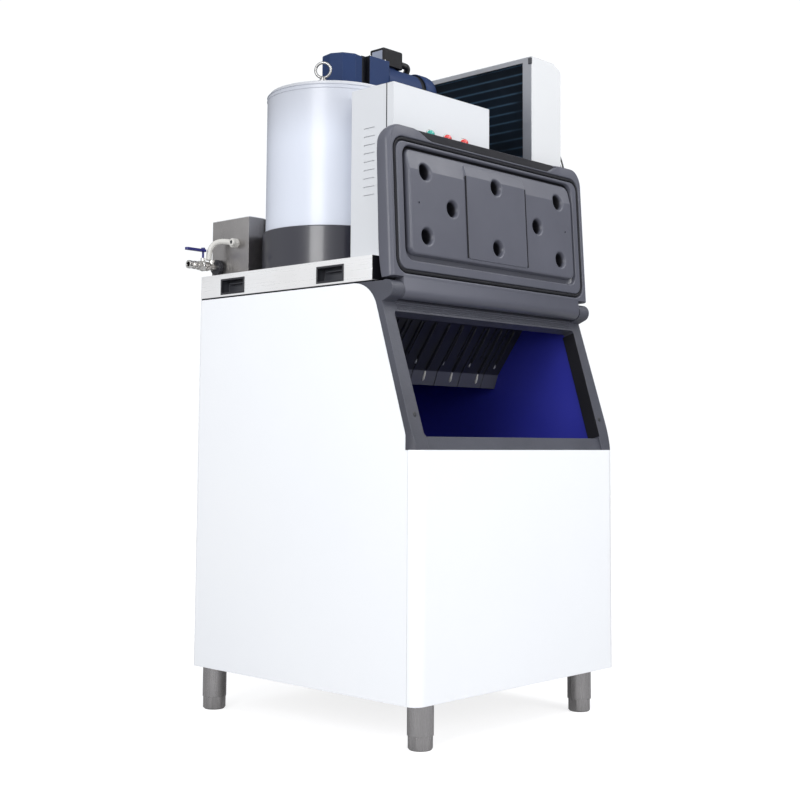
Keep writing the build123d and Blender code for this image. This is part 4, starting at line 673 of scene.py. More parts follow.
# %% The door's sizes, from the hinge axis along its face
DOOR_FACE, DOOR_HALF, DOOR_LOW, DOOR_HIGH, DOOR_ROUND = 19.0, 380.0, 27.0, 387.0, 46.0
GROOVE = (356.0, 42.0, 354.0, 30.0)
GRIP_START, GRIP_DEPTH, GRIP_HALF, GRIP_TAPER = 361.5, 11.0, 285.0, 55.0
CHANNEL = (330.0, 69.0, 342.0, 28.0)
PLUG = (319.0, 82.0, 336.0, 20.0)
PANEL = (115.0, 92.0, 326.0, 8.0)
BEVEL_START, PANEL_BEVEL_START = 285.5, 297.0
DIMPLES = [(x, v) for x in (-259.0, 259.0) for v in (130.0, 283.5)]
DIMPLES += [(-166.0, 207.0), (166.0, 207.0), (0.0, 130.0), (0.0, 283.5)]
PIN_HOLES = [(-285.0, 207.0), (285.0, 207.0)]
GROOVE_STEPS = [(0, -7.5), (4.4, -7.5), (5.2, -6.2), (5.8, -1.2), (6.6, -0.3), (7.8, 0)]
DIMPLE_STEPS = [(0, -39), (9, -38.5), (12.5, -35), (18.5, -8), (20.2, -3), (21.6, -0.9),
                (23.4, -0.15), (25, 0)]


def door_point(x, v, z):
    """x across, v up the door from the hinge axis, z off its face towards the front."""
    return at(x, HINGE_Y - z * math.cos(DOOR_LEAN) + v * math.sin(DOOR_LEAN),
              HINGE_Z + v * math.cos(DOOR_LEAN) + z * math.sin(DOOR_LEAN))


# %% Rounded rectangles: how far outside a point lies, and their outlines
def outside(x, v, form):
    half, low, high, corner = form
    across = abs(x) - (half - corner)
    along = abs(v - (low + high) / 2) - ((high - low) / 2 - corner)
    return math.hypot(max(across, 0), max(along, 0)) + min(max(across, along), 0) - corner


def between(start, end, step):
    parts = max(int(math.dist(start, end) / step), 1)
    return [(start[0] + (end[0] - start[0]) * part / parts,
             start[1] + (end[1] - start[1]) * part / parts) for part in range(1, parts)]


def outline(form, grow, step=14.0, turns=8):
    half, low, high, corner = form
    corner = max(corner + grow, 0.3)
    left, right = -half - grow + corner, half + grow - corner
    bottom, top = low - grow + corner, high + grow - corner
    ring = []
    for x, v, start in ((right, bottom, -90), (right, top, 0), (left, top, 90),
                        (left, bottom, 180)):
        for k in range(turns + 1):
            turn = math.radians(start + 90 * k / turns)
            point = (x + corner * math.cos(turn), v + corner * math.sin(turn))
            ring += between(ring[-1], point, step) if ring else []
            ring.append(point)
    return ring + between(ring[-1], ring[0], step)


def stepped(distance, steps):
    if distance <= steps[0][0]:
        return steps[0][1]
    for (near, low), (far, high) in zip(steps, steps[1:]):
        if distance <= far:
            return low + (high - low) * (distance - near) / (far - near)
    return steps[-1][1]


# %% The face's height
def channel_floor(v):
    return -17.0 + 9.0 * min(max((112.0 - v) / 30.0, 0), 1)


def plug_top(x, v):
    top = 6.0 - 12.0 * max(v - BEVEL_START, 0) / 50.5
    raised = 8.3 - 12.5 * max(v - PANEL_BEVEL_START, 0) / 38.5
    edge = min(max(-outside(x, v, PANEL) / 1.6, 0), 1)
    return top + max(raised - top, 0) * edge


def face_height(x, v):
    apart = outside(x, v, PLUG)
    if apart < 0:
        floor, top = channel_floor(v), plug_top(x, v)
        rise = stepped(-apart, [(0, 0), (2.6, 0.84), (3.6, 0.94), (5.2, 0.985), (7.5, 1)])
        height = floor + (top - floor) * rise
        for place in DIMPLES:
            height += stepped(math.dist((x, v), place), DIMPLE_STEPS)
        for place in PIN_HOLES:
            height += stepped(math.dist((x, v), place), [(2.4, -5), (2.9, 0)])
        return height
    apart = outside(x, v, CHANNEL)
    if apart < 2.4:
        return stepped(apart, [(-2.4, channel_floor(v)), (-1.4, channel_floor(v) + 1.2),
                               (-0.2, -1.8), (0.6, -0.5), (2.4, 0)])
    height = stepped(abs(outside(x, v, GROOVE)), GROOVE_STEPS)
    along = (v - GRIP_START) / (DOOR_HIGH - GRIP_START)
    if along > 0:
        edge = min(max((GRIP_HALF - GRIP_TAPER * (1 - along) - abs(x)) / 4.0, 0), 1)
        height -= GRIP_DEPTH * along * edge
    return height


def back_height(v):
    return stepped(v, [(27, -14), (43, -17.2), (60, -19.4), (85, -21), (110, -21.5), (300, -18),
                       (318, -17.6), (336, -16.4), (352, -14.5), (365, -10.5), (375, -5.5),
                       (385, 2), (387, 6)])


print("face height at the middle", face_height(0, 200), "at a dimple", face_height(0, 130))

# %% Outlines for the triangulation
EDGE, BACK_EDGE = 12.0, 4.0


def door_outline(inset):
    """The door's edge: square at the hinge, round at the free corners, finer at the top."""
    half, low, high = DOOR_HALF - inset, DOOR_LOW + min(inset, 2.0), DOOR_HIGH - 0.34 * inset
    turn_x, turn_v = DOOR_HALF - DOOR_ROUND, DOOR_HIGH - DOOR_ROUND
    quarter = [math.radians(90 * k / 12) for k in range(13)]
    ring = [(-half + 2 * half * k / 60, low) for k in range(60)]
    ring += [(half, low + (turn_v - low) * k / 24) for k in range(24)]
    ring += [(turn_x + (half - turn_x) * math.cos(turn), turn_v + (high - turn_v) * math.sin(turn))
             for turn in quarter]
    ring += [(turn_x - 2 * turn_x * k / 56, high) for k in range(1, 56)]
    ring += [(-turn_x - (half - turn_x) * math.sin(turn),
              turn_v + (high - turn_v) * math.cos(turn)) for turn in quarter]
    ring += [(-half, turn_v - (turn_v - low) * k / 24) for k in range(1, 24)]
    return ring


def circle(place, radius, sides=40):
    return [(place[0] + radius * math.cos(turn), place[1] + radius * math.sin(turn))
            for turn in turns(sides)]


def feature_lines():
    closed = [outline(GROOVE, side * far) for side in (-1, 1)
              for far in (0.0, 4.4, 5.2, 5.8, 6.6, 7.8, 8.8) if side < 0 or far > 0]
    closed += [outline(CHANNEL, far) for far in (-2.4, -1.4, -0.2, 0.6, 2.4, 3.4)]
    closed += [outline(PLUG, -far) for far in (0, 2.6, 3.6, 5.2, 7.5, 8.5)]
    closed += [outline(PANEL, far) for far in (0.8, 0, -1.6, -2.4)]
    closed += [circle(place, far) for place in DIMPLES
               for far in (4.5, 9, 12.5, 15.5, 18.5, 20.2, 21.6, 23.4, 25, 26)]
    closed += [circle(place, far, 14) for place in PIN_HOLES for far in (2.4, 2.9, 3.6)]
    open_lines = [[(-312 + 24 * k, v) for k in range(27)]
                  for v in (BEVEL_START - 0.8, BEVEL_START, BEVEL_START + 0.8)]
    open_lines += [[(-113 + 22.6 * k, v) for k in range(11)]
                   for v in (PANEL_BEVEL_START - 0.8, PANEL_BEVEL_START, PANEL_BEVEL_START + 0.8)]
    for side in (-1, 1):
        for far in (-0.6, 0, 4.0, 4.6):
            open_lines.append([(side * (GRIP_HALF - GRIP_TAPER * (1 - t) - far),
                                GRIP_START + (DOOR_HIGH - GRIP_START) * t)
                               for t in (0.0, 0.2, 0.4, 0.6, 0.8)])
    open_lines += [[(-228 + 24 * k, GRIP_START + far) for k in range(20)] for far in (0, 1.5)]
    return closed, open_lines


def triangulate(boundary, closed, open_lines):
    points, edges = [], []
    for ring in [boundary] + closed:
        first = len(points)
        points += [Vector(point) for point in ring]
        edges += [(first + k, first + (k + 1) % len(ring)) for k in range(len(ring))]
    for line in open_lines:
        first = len(points)
        points += [Vector(point) for point in line]
        edges += [(first + k, first + k + 1) for k in range(len(line) - 1)]
    flat, _, faces, *_ = delaunay_2d_cdt(points, edges, [], 0, 1e-4)
    return [tuple(point) for point in flat], [tuple(face) for face in faces]


# %% The door's mesh: face, rounded edge, back and hinge roll
def door_shell():
    shape = Shape()
    flat, faces = triangulate(door_outline(EDGE), *feature_lines())
    shape.points = [door_point(x, v, DOOR_FACE + face_height(x, v)) for x, v in flat]
    shape.faces = list(faces)
    back_lines = []
    for v in (43, 60, 85, 110, 200, 300, 318, 336, 352, 365, 375):
        corner = DOOR_ROUND - BACK_EDGE
        over = max(v - (DOOR_HIGH - DOOR_ROUND), 0)
        reach = DOOR_HALF - DOOR_ROUND + math.sqrt(corner ** 2 - over ** 2) - BACK_EDGE
        back_lines.append([(-reach + reach * k / 11, v) for k in range(23)])
    flat, faces = triangulate(door_outline(BACK_EDGE), [], back_lines)
    first = len(shape.points)
    shape.points += [door_point(x, v, back_height(v)) for x, v in flat]
    shape.faces += [tuple(first + index for index in face[::-1]) for face in faces]
    front_inner, back_inner = door_outline(EDGE), door_outline(BACK_EDGE)
    rings = []
    for inset, share in ((12, 0), (10.6, 0.01), (9.8, -0.03), (9.0, 0.03), (6.4, 0.12),
                         (3.8, 0.27), (1.8, 0.47), (0.5, 0.71), (0, 1.0)):
        ring = []
        for (x, v), (x_in, v_in) in zip(door_outline(inset), front_inner):
            top, low = DOOR_FACE + face_height(x_in, v_in), back_height(v)
            ring.append(door_point(x, v, top - share * min(EDGE, 0.6 * (top - low))))
        rings.append(ring)
    for inset, share in ((0, 0.9), (0.8, 0.4), (2.2, 0.1), (4.0, 0.0)):
        ring = []
        for (x, v), (x_in, v_in), (x_top, v_top) in zip(door_outline(inset), back_inner,
                                                        front_inner):
            top, low = DOOR_FACE + face_height(x_top, v_top), back_height(v_in)
            ring.append(door_point(x, v, low + share * min(BACK_EDGE, 0.3 * (top - low))))
        rings.append(ring)
    shape.loops(rings, caps=False)
    return shape


def hinge_roll(shape):
    """The roll under the door: its front runs smoothly down from the face."""
    angles = [math.radians(90 - 200 * k / 20) for k in range(21)]
    section = [(34.5, 10.0), (34.0, 18.96), (30.0, 19.05), (22.0, 19.25), (14.0, 19.7),
               (7.0, 20.2)]
    section += [(-20.6 * math.cos(angle), 20.6 * math.sin(angle)) for angle in angles]
    section += [(8.0, -14.0), (34.0, -10.0)]
    rings = []
    for x, small in ((-338.4, 0.9), (-337.6, 0.96), (-336.0, 1.0), (336.0, 1.0), (337.6, 0.96),
                     (338.4, 0.9)):
        rings.append([door_point(x, 4.0 + (v - 4.0) * small, 2.0 + (z - 2.0) * small)
                      for v, z in section])
    return shape.loops(rings)


piece("door_moulding", hinge_roll(door_shell()), DOOR_SKIN, "bin_door",
      replaced=("door",), crease=math.radians(50))

# %% [markdown]
# The seal is a soft rubber strip with a rounded back, pressed into the groove all round.


# %% The door's seal
def seal_strip():
    rings = []
    for aside, height in ((-3.9, -7.4), (-3.9, -3.2), (-2.7, -1.3), (-1.2, -0.6), (1.2, -0.6),
                          (2.7, -1.3), (3.9, -3.2), (3.9, -7.4)):
        rings.append([door_point(x, v, DOOR_FACE + height)
                      for x, v in outline(GROOVE, aside, step=1e6)])
    return Shape().loops(rings, close=False)


piece("door_seal", seal_strip(), RUBBER, "bin_door", replaced=("door_gasket",))

# %% [markdown]
# ## Geometry Nodes for what repeats
# Fins, wires, ribs and screws repeat by a rule. A node tree holds the rule with named inputs, a
# start mesh brings the places, and the evaluated result is baked to a plain mesh, because the
# export keeps no instances.


# %% A node tree with named inputs, and its bake
def rule(name, inputs):
    tree = bpy.data.node_groups.new(name, "GeometryNodeTree")
    tree.interface.new_socket(name="Geometry", in_out="INPUT",
                              socket_type="NodeSocketGeometry")
    name_inputs(tree, inputs)
    tree.interface.new_socket(name="Material", in_out="INPUT", socket_type="NodeSocketMaterial")
    tree.interface.new_socket(name="Geometry", in_out="OUTPUT",
                              socket_type="NodeSocketGeometry")
    start = tree.nodes.new("NodeGroupInput")
    end = tree.nodes.new("NodeGroupOutput")
    print("rule", name, "with", ", ".join(inputs))
    return tree, start.outputs, end.inputs


def close_rule(tree, take, give, shape):
    """Every rule ends in real geometry with its material."""
    real = add(tree, "GeometryNodeRealizeInstances", [(0, shape)])
    coloured = add(tree, "GeometryNodeSetMaterial", [("Geometry", real.outputs[0]),
                                                     ("Material", take["Material"])])
    tree.links.new(coloured.outputs[0], give["Geometry"])
    return tree


def grow(name, tree, points, values, material, slot, body="cabinet", edges=(), replaced=()):
    start = put(name, bpy.data.meshes.new(name + "_start"))
    start.data.from_pydata([tuple(point) for point in points], list(edges), [])
    modifier = start.modifiers.new("rule", "NODES")
    modifier.node_group = tree
    for item in tree.interface.items_tree:
        if item.in_out == "INPUT" and item.name in values:
            modifier[item.identifier] = values[item.name]
        elif item.in_out == "INPUT" and item.name == "Material":
            modifier[item.identifier] = material
    graph = bpy.context.evaluated_depsgraph_get()
    baked = bpy.data.meshes.new_from_object(start.evaluated_get(graph))
    start.modifiers.remove(modifier)
    start.data = baked
    baked.name = name
    return settle(start, material, body, replaced)


# %% [markdown]
# ## The condenser's coil
# A finned coil is a pack of thin coated plates with tubes through them, which turn back in
# bends at both ends. Plates and tubes are rows of equal steps, so two rules make them.


# %% Rule: a row of plates
def plate_row():
    tree, take, give = rule("Plate Row", {"Count": 100, "Step": (0, 0.0022, 0),
                                          "Size": (0.04, 0.0003, 0.5), "Start": (0, 0, 0)})
    line = add(tree, "GeometryNodeMeshLine", [("Count", take["Count"]),
                                              ("Start Location", take["Start"]),
                                              ("Offset", take["Step"])])
    plate = add(tree, "GeometryNodeMeshCube", [("Size", take["Size"])])
    row = add(tree, "GeometryNodeInstanceOnPoints", [("Points", line.outputs[0]),
                                                     ("Instance", plate.outputs["Mesh"])])
    return close_rule(tree, take, give, row.outputs[0])


# %% Rule: bars along the edges of the start mesh
def bars():
    """Each edge chain of the start mesh becomes a round bar."""
    tree, take, give = rule("Round Bars", {"Radius": 0.002, "Sides": 10})
    chain = add(tree, "GeometryNodeMeshToCurve", [("Mesh", take["Geometry"])])
    section = add(tree, "GeometryNodeCurvePrimitiveCircle", [("Resolution", take["Sides"]),
                                                             ("Radius", take["Radius"])])
    bar = add(tree, "GeometryNodeCurveToMesh", [("Curve", chain.outputs[0]),
                                                ("Profile Curve", section.outputs[0]),
                                                ("Fill Caps", True)])
    return close_rule(tree, take, give, bar.outputs[0])


PLATES, BARS = plate_row(), bars()


def chains(lines, rings=()):
    """Points and edges of open lines, then of closed rings, for the rule of bars."""
    points, edges = [], []
    for line, closed in [(line, False) for line in lines] + [(ring, True) for ring in rings]:
        first, count = len(points), len(line)
        points += line
        edges += [(first + k, first + k + 1) for k in range(count - 1)]
        edges += [(first + count - 1, first)] if closed else []
    return points, edges


def wires(name, lines, radius, sides, material, slot, body="cabinet", rings=(), replaced=()):
    """Round bars along open lines and closed rings, as one piece."""
    points, edges = chains(lines, rings)
    return grow(name, BARS, points, {"Radius": radius, "Sides": sides}, material, slot, body,
                edges, replaced)


# %% Coil: fins, tubes and bends
COIL_LOW, COIL_HIGH = 1118.0, 1692.0
COIL_FRONT, COIL_REAR, COIL_X = -213.0, 182.0, 226.0
TUBE_PITCH, TUBE_ROWS, FIN_PITCH = 25.0, 22, 2.4
FIRST_TUBE = (COIL_LOW + COIL_HIGH - (TUBE_ROWS - 1) * TUBE_PITCH) / 2
TUBE_COLUMNS, FIN_MIDDLE = (COIL_X + 11.0, COIL_X + 33.0), COIL_X + 22.0
FIN_WIDTH, FIN_THICK, BEND_DEPTH = 0.042, 0.0004, 6.5
fin_count = int((COIL_REAR - COIL_FRONT - 2) / FIN_PITCH)
grow("coil_fins", PLATES, [(0, 0, 0)],
     {"Count": fin_count, "Step": (0, FIN_PITCH * MM, 0),
      "Size": (FIN_WIDTH, FIN_THICK, (COIL_HIGH - COIL_LOW) * MM),
      "Start": at(FIN_MIDDLE, COIL_FRONT + 2.0, (COIL_LOW + COIL_HIGH) / 2)},
     FIN_BLUE, "coil_black", replaced=("condenser_coil",))


def tube_lines():
    lines = []
    for row in range(TUBE_ROWS):
        z = FIRST_TUBE + row * TUBE_PITCH
        lines += [[at(x, COIL_FRONT + 1.0, z), at(x, COIL_REAR + 1.0, z)] for x in TUBE_COLUMNS]
        if row % 2 == 0:
            bends = [math.pi * k / 12 for k in range(13)]
            lines += [[at(x, COIL_REAR + BEND_DEPTH * math.sin(bend) + 1.0,
                          z + TUBE_PITCH / 2 * (1 - math.cos(bend))) for bend in bends]
                      for x in TUBE_COLUMNS]
    return lines


wires("coil_tubes", tube_lines(), 0.0045, 10, COPPER, "copper")

# %% [markdown]
# ## The fan's guard
# The guard is welded from wire: ribs that bend steeply back to the rim, and rings that lie on
# them. Ribs and rings are chains of edges, and the same rule of bars thickens them.

# %% Guard wires
GUARD, RIM_RADIUS = (346.0, -18.0, 1384.0), 213.4
GUARD_SIDE = [(213.4, 1.6), (213.4, 16.0), (213.0, 28.0), (211.6, 38.0), (207.0, 45.0),
              (198.0, 48.0), (184.0, 48.4)]
RING_STEPS = [(213.6, 12.0), (213.4, 23.0), (212.4, 34.0), (208.8, 43.6), (198.0, 48.4),
              (180.0, 48.4), (160.0, 48.4), (140.0, 48.4), (120.0, 48.4), (100.0, 48.4),
              (80.0, 48.4), (60.0, 48.4), (41.0, 48.4)]


def guard_point(radius, out, turn):
    return at(GUARD[0] + out, GUARD[1] + radius * math.cos(turn),
              GUARD[2] + radius * math.sin(turn))


def guard_lines(ribs=16):
    spokes = []
    for rib in range(ribs):
        turn = 2 * math.pi * (rib + 0.5) / ribs
        side = [(40.0, 46.6), (100.0, 46.6)] + [(radius - 0.6, out - 1.8)
                                                for radius, out in GUARD_SIDE[::-1]]
        spokes.append([guard_point(radius, max(out, 1.2), turn) for radius, out in side])
    rings = [[guard_point(radius, out, turn) for turn in turns(72)]
             for radius, out in RING_STEPS]
    return spokes, rings


guard_spokes, guard_rings = guard_lines()
wires("guard_wires", guard_spokes, 0.0013, 8, GUARD_BLACK, "guard_black", rings=guard_rings,
      replaced=("fan_guard",))
wires("guard_rim", [], 0.0018, 10, GUARD_BLACK, "guard_black",
      rings=[[guard_point(RIM_RADIUS, 1.8, turn) for turn in turns(96)]])
hub = Shape().lathe(at(GUARD[0] + 46.0, GUARD[1], GUARD[2]), (1, 0, 0),
                    [(3, 0), (40, 0), (41.5, 0.8), (41.5, 2.2), (40, 3.2), (30, 3.8), (3, 4.0)])
piece("guard_hub_plate", hub, GUARD_BLACK)

# %% [markdown]
# ## The grip
# Along the door's free edge runs a soft dark grip that lies in a sloping recess. It follows the
# same height function as the door, a little above it, so it sits on it everywhere.


# %% A strip laid on the door's face
def grip_strip(columns=60, rows=6):
    shape = Shape()
    top, low = [], []
    for row in range(rows + 1):
        v = GRIP_START + 1.2 + (DOOR_HIGH - 1.9 - GRIP_START) * row / rows
        share = (v - GRIP_START) / (DOOR_HIGH - GRIP_START)
        reach = GRIP_HALF - GRIP_TAPER * (1 - share) - 6.5
        for column in range(columns + 1):
            x = -reach + 2 * reach * column / columns
            z = DOOR_FACE - GRIP_DEPTH * share
            rim = row in (0, rows) or column in (0, columns)
            top.append(door_point(x, v, z + (0.1 if rim else 0.9)))
            low.append(door_point(x, v, z - 1.0))
    width = columns + 1
    shape.points = top + low
    under = len(top)
    for row in range(rows):
        for column in range(columns):
            a = row * width + column
            quad = (a, a + 1, a + 1 + width, a + width)
            shape.faces += [quad, tuple(under + index for index in quad[::-1])]
    edge = (list(range(width))
            + [row * width + columns for row in range(1, rows + 1)]
            + [rows * width + column for column in range(columns - 1, -1, -1)]
            + [row * width for row in range(rows - 1, 0, -1)])
    for here, there in zip(edge, edge[1:] + edge[:1]):
        shape.faces.append((here, there, under + there, under + here))
    return shape


# Two thin black bars paint the shade along the steps of the raised middle panel, broader on the
# left.
for name, x, radius in (("left", -116.6, 0.0019), ("right", 116.6, 0.0013)):
    step_shade_line = [door_point(x, v, DOOR_FACE + plug_top(0, v) - 1.0)
                 for v in (94, 150, 210, 260, 296)]
    wires("panel_step_shade_" + name, [step_shade_line], radius, 8, RUBBER, "black_rubber", "bin_door")
piece("door_grip", grip_strip(), GRIP_BLACK, "bin_door")

# %% [markdown]
# ## Trim on the door's frame
# The frame's top bar has two thin ridges under the hinge roll, and each side member a round plug
# over a fastener. All lie on the frame's sloping front face, so they get a plane of their own.

# %% Ridges and plugs on the frame
FRAME_SLOPE, FRAME_FACE = math.radians(17.44), -21.2
PLUG_HALF, PLUG_ALONG, RIDGE_OUT = 355.5, 291.4, -20.3


def frame_point(x, along, out):
    """x across, along down the slope from the hinge axis, out towards the front."""
    return at(x, HINGE_Y - along * math.sin(FRAME_SLOPE) - out * math.cos(FRAME_SLOPE),
              HINGE_Z - along * math.cos(FRAME_SLOPE) + out * math.sin(FRAME_SLOPE))


ridges = [[frame_point(x, along, RIDGE_OUT) for x in (-335.0, -112.0, 112.0, 335.0)]
          for along in (20.5, 26.0)]
wires("frame_ridges", ridges, 0.001, 8, DOOR_GREY, "charcoal_plastic")
facing = frame_point(0, 0, 1) - frame_point(0, 0, 0)
for side, name in ((-1, "left"), (1, "right")):
    disc = Shape().lathe(frame_point(side * PLUG_HALF, PLUG_ALONG, FRAME_FACE), facing,
                         [(0.3, 0), (6.2, 0), (6.2, 0.9), (5.4, 1.5), (2.0, 1.7), (1.6, 1.3),
                          (0.3, 1.3)], sides=24)
    piece("frame_plug_" + name, disc, BAFFLE_BLACK)

# %% [markdown]
# A dark strip covers each side of the opening and follows the frame's slope and its
# narrowing. Two rings of four points, joined all round, make each of the two.

# %% Dark strips on the opening's sides
OPENING_HALF, OPENING_START, OPENING_LENGTH, OPENING_TAPER = 346.0, 44.0, 297.5, 7.0
side_strips = Shape()
for side in (-1, 1):
    rings = []
    for inward in (0.15, 1.0):
        ring = []
        for along, out in ((50.0, -21.4), (336.0, -21.4), (336.0, -58.0), (50.0, -58.0)):
            half = (OPENING_HALF - OPENING_TAPER * (along - OPENING_START) / OPENING_LENGTH
                    - inward)
            ring.append(frame_point(side * half, along, out))
        rings.append(ring)
    side_strips.loops(rings)
piece("opening_dark_strips", side_strips, RUBBER)

# %% [markdown]
# ## The ice baffle's ribs
# Long round-backed ribs guide the flakes down the baffle. Every second one ends above the bend
# in a small pale nib; the others end on the lip. The nibs are pale pieces that paint the
# highlights where the ribs end.

# %% Ribs and nibs
BAFFLE_TOP, BAFFLE_BEND, BAFFLE_FOOT = (-116.0, 1000.5), (-22.0, BAFFLE_BEND_Z), (-8.0, 828.0)


def baffle_point(x, share, off):
    """Down the baffle by its share, 1 at the bend and 2 at the lip's foot, and off it."""
    (y0, z0), (y1, z1) = ((BAFFLE_TOP, BAFFLE_BEND) if share <= 1 else (BAFFLE_BEND, BAFFLE_FOOT))
    run, fall = y1 - y0, z1 - z0
    long, share = math.hypot(run, fall), share - (share > 1)
    return at(x, y0 + run * share + fall / long * off, z0 + fall * share - run / long * off)


def bead(shape, x, stations, wide, high, sides=12):
    """A rounded bead down the baffle; stations are (share, size)."""
    rings = [[baffle_point(x + wide * size * math.cos(turn), share,
                           high * (0.2 + size * math.sin(turn))) for turn in turns(sides)]
             for share, size in stations]
    return shape.loops(rings)


RIB_PITCH, BAFFLE_HALF = 107, 340
ribs, highlight_nibs, short_highlight_nibs = Shape(), Shape(), Shape()
for rib in range(-3, 4):
    for x, last in ((46.0 + RIB_PITCH * rib, 0.985), (-7.0 + RIB_PITCH * rib, 0.8)):
        if abs(x) > BAFFLE_HALF:
            continue
        bead(ribs, x, [(0.1, 0.1), (0.13, 0.8), (0.2, 1.0), (last - 0.05, 1.0), (last - 0.01, 0.7),
                       (last, 0.1)], 3.2, 6.5)
        if last > 0.9:
            bead(highlight_nibs, x, [(1.0, 0.1), (1.06, 0.6), (1.35, 1.0), (1.6, 1.0), (1.72, 0.1)],
                 2.9, 4.0)
        else:
            bead(short_highlight_nibs, x, [(0.8, 0.1), (0.82, 0.6), (0.85, 1.0), (0.875, 0.8), (0.885, 0.1)],
                 2.3, 3.4)
piece("baffle_rib_backs", ribs, BAFFLE_BLACK)
# The pale nibs are painted highlights at the ribs' ends.
piece("baffle_highlight_nibs", highlight_nibs, PALE_PLASTIC)
piece("baffle_short_highlight_nibs", short_highlight_nibs, HIGHLIGHT_NIB_GREY)

# %% [markdown]
# ## Control box seal
# The cover meets the box on a dark foam seal, which shows as one thin line all round.


# %% The seal in the cover's seam
def plan_ring(y, inset, low=(-312.0, 1105.0), high=(41.0, 1525.0)):
    return [at(low[0] + inset, y, low[1] + inset), at(high[0] - inset, y, low[1] + inset),
            at(high[0] - inset, y, high[1] - inset), at(low[0] + inset, y, high[1] - inset)]


seam = Shape().loops([plan_ring(-222.0, -0.4), plan_ring(-219.2, -0.4), plan_ring(-219.2, 0.2),
                      plan_ring(-219.6, 8.0), plan_ring(-221.0, 8.0), plan_ring(-222.0, 0.2)],
                     close=False)
piece("control_seal", seam, RUBBER)

# %% [markdown]
# The louvres in the box's side are open cuts. A thin plate behind them stops the view into the
# empty box.

# %% A plate behind the louvres
backing = Shape().box((-309.8, -216.0, 1120.0), (-308.8, -108.0, 1510.0), soft=0.3)
piece("louvre_plate", backing, BOX_WHITE)

# %% [markdown]
# ## Slots in the tray
# Each carrying slot is lined: a thin dark bezel on the skirt and a short pocket behind it with
# a folded sill, so that nothing inside the tray can be seen or reached. A dark rubber strip on
# the front skirt paints the shade between the door and the tray.

# %% Bezels, pockets and the shade strip
SLOT_LOW, SLOT_HIGH, SLOT_PLACES, SKIRT = 1053.5, 1090.5, (256.0, -104.0), 380.0


def slot_ring(x, y, grow_by):
    half, low, high = 45.0 + grow_by, SLOT_LOW - grow_by, SLOT_HIGH + grow_by
    return [at(x, y - half, low), at(x, y + half, low), at(x, y + half, high),
            at(x, y - half, high)]


def slot_rings(side, y, steps):
    """A loop of rings; steps are (inward from the skirt, wider than the slot)."""
    return [slot_ring(side * (SKIRT - inward), y, wider) for inward, wider in steps]


bezels, pockets = Shape(), Shape()
for side in (-1, 1):
    for y in SLOT_PLACES:
        bezels.loops(slot_rings(side, y, ((-1.0, 1.8), (-1.4, 1.2), (-1.4, -2.6), (3.0, -3.0),
                                          (3.0, -0.1), (0, -0.1), (0, 1.8))), close=False)
        pockets.loops(slot_rings(side, y, ((2.2, 3.0), (2.2, 0.0), (26.0, 0.0), (26.5, 3.0))),
                      close=False)
        for inward, deep, half, low, high, soft in (
                (26.0, 28.0, 47, SLOT_LOW - 2, SLOT_HIGH + 2, 0.4),
                (14.0, 25.0, 30, SLOT_HIGH - 12, SLOT_HIGH - 9, 0.5)):
            near, far = sorted((side * (SKIRT - inward), side * (SKIRT - deep)))
            pockets.box((near, y - half, low), (far, y + half, high), soft=soft)
piece("slot_bezels", bezels, BASE_BLACK)
# A dark rubber strip on the front skirt paints the shade between the door and the tray.
shade_strip = Shape().box((-379.2, -245.0, 1048.5), (379.2, -243.1, 1104.0), soft=0.5)
piece("tray_front_shade_strip", shade_strip, RUBBER)
piece("slot_pockets", pockets, SLOT_GREY)

# %% [markdown]
# ## Drive and drum trim
# The drum has two rolled beads under its rim. Each is a ring of wire that is half sunk into the
# shell, so the rule of bars makes both.

# %% Beads on the drum
DRUM_X, DRUM_Y, BEAD_RADIUS = -198.0, 82.0, 170.2
bead_rings = [[at(DRUM_X + BEAD_RADIUS * math.cos(turn), DRUM_Y + BEAD_RADIUS * math.sin(turn), z)
               for turn in turns(120)] for z in (1557.6, 1548.0)]
wires("drum_beads", [], 0.0011, 8, DRUM_WHITE, "drum_white", rings=bead_rings)

# %% [markdown]
# Behind the motor sits the cowl of its own fan. The photograph shows it short, with a soft round
# back, so it is turned afresh from a profile and replaces the solid's plain cylinder.

# %% The cowl of the motor's own fan, short and round-backed
cowl = Shape().lathe(at(97.0, DRUM_Y, 1631.3), (1, 0, 0),
                     [(0.3, 0), (56.0, 0), (58.6, 0.8), (59.6, 2.4), (59.6, 30.0), (58.0, 40.0),
                      (53.0, 48.0), (44.0, 53.5), (30.0, 56.5), (0.3, 57.5)], sides=72)
piece("motor_cowl", cowl, MOTOR_BLUE, replaced=("fan_cowl",))

# %% [markdown]
# The pilot lamps are domes in bright collars. A sphere could be squashed for each, but a lathe
# profile gives the straight foot and the dome in one closed mesh, and three of them the row.

# %% Pilot lamps: three domes in their collars
LAMP_PLACES, LAMP_Z = (-186.5, -124.0, -61.5), 1418.5
domes, collars = Shape(), Shape()
for x in LAMP_PLACES:
    domes.lathe(at(x, -245.0, LAMP_Z), (0, -1, 0),
                [(0.3, 0), (10.9, 0), (10.9, 3.6), (10.3, 6.4), (8.6, 8.9), (6.0, 10.6),
                 (3.0, 11.5), (0.3, 11.7)], sides=36)
    collars.lathe(at(x, -242.9, LAMP_Z), (0, -1, 0),
                  [(0.3, 0), (12.6, 0), (12.6, 2.2), (11.9, 3.0), (0.3, 3.0)], sides=36)
piece("lamp_domes", domes, LAMP, replaced=("pilot_lamps",))
piece("lamp_collars", collars, NICKEL)

# %% [markdown]
# Two small flat parts are blocks with softened edges: a small dark block at the top corner of the
# coil's frame, and the plate on the terminal box, which stays blank.

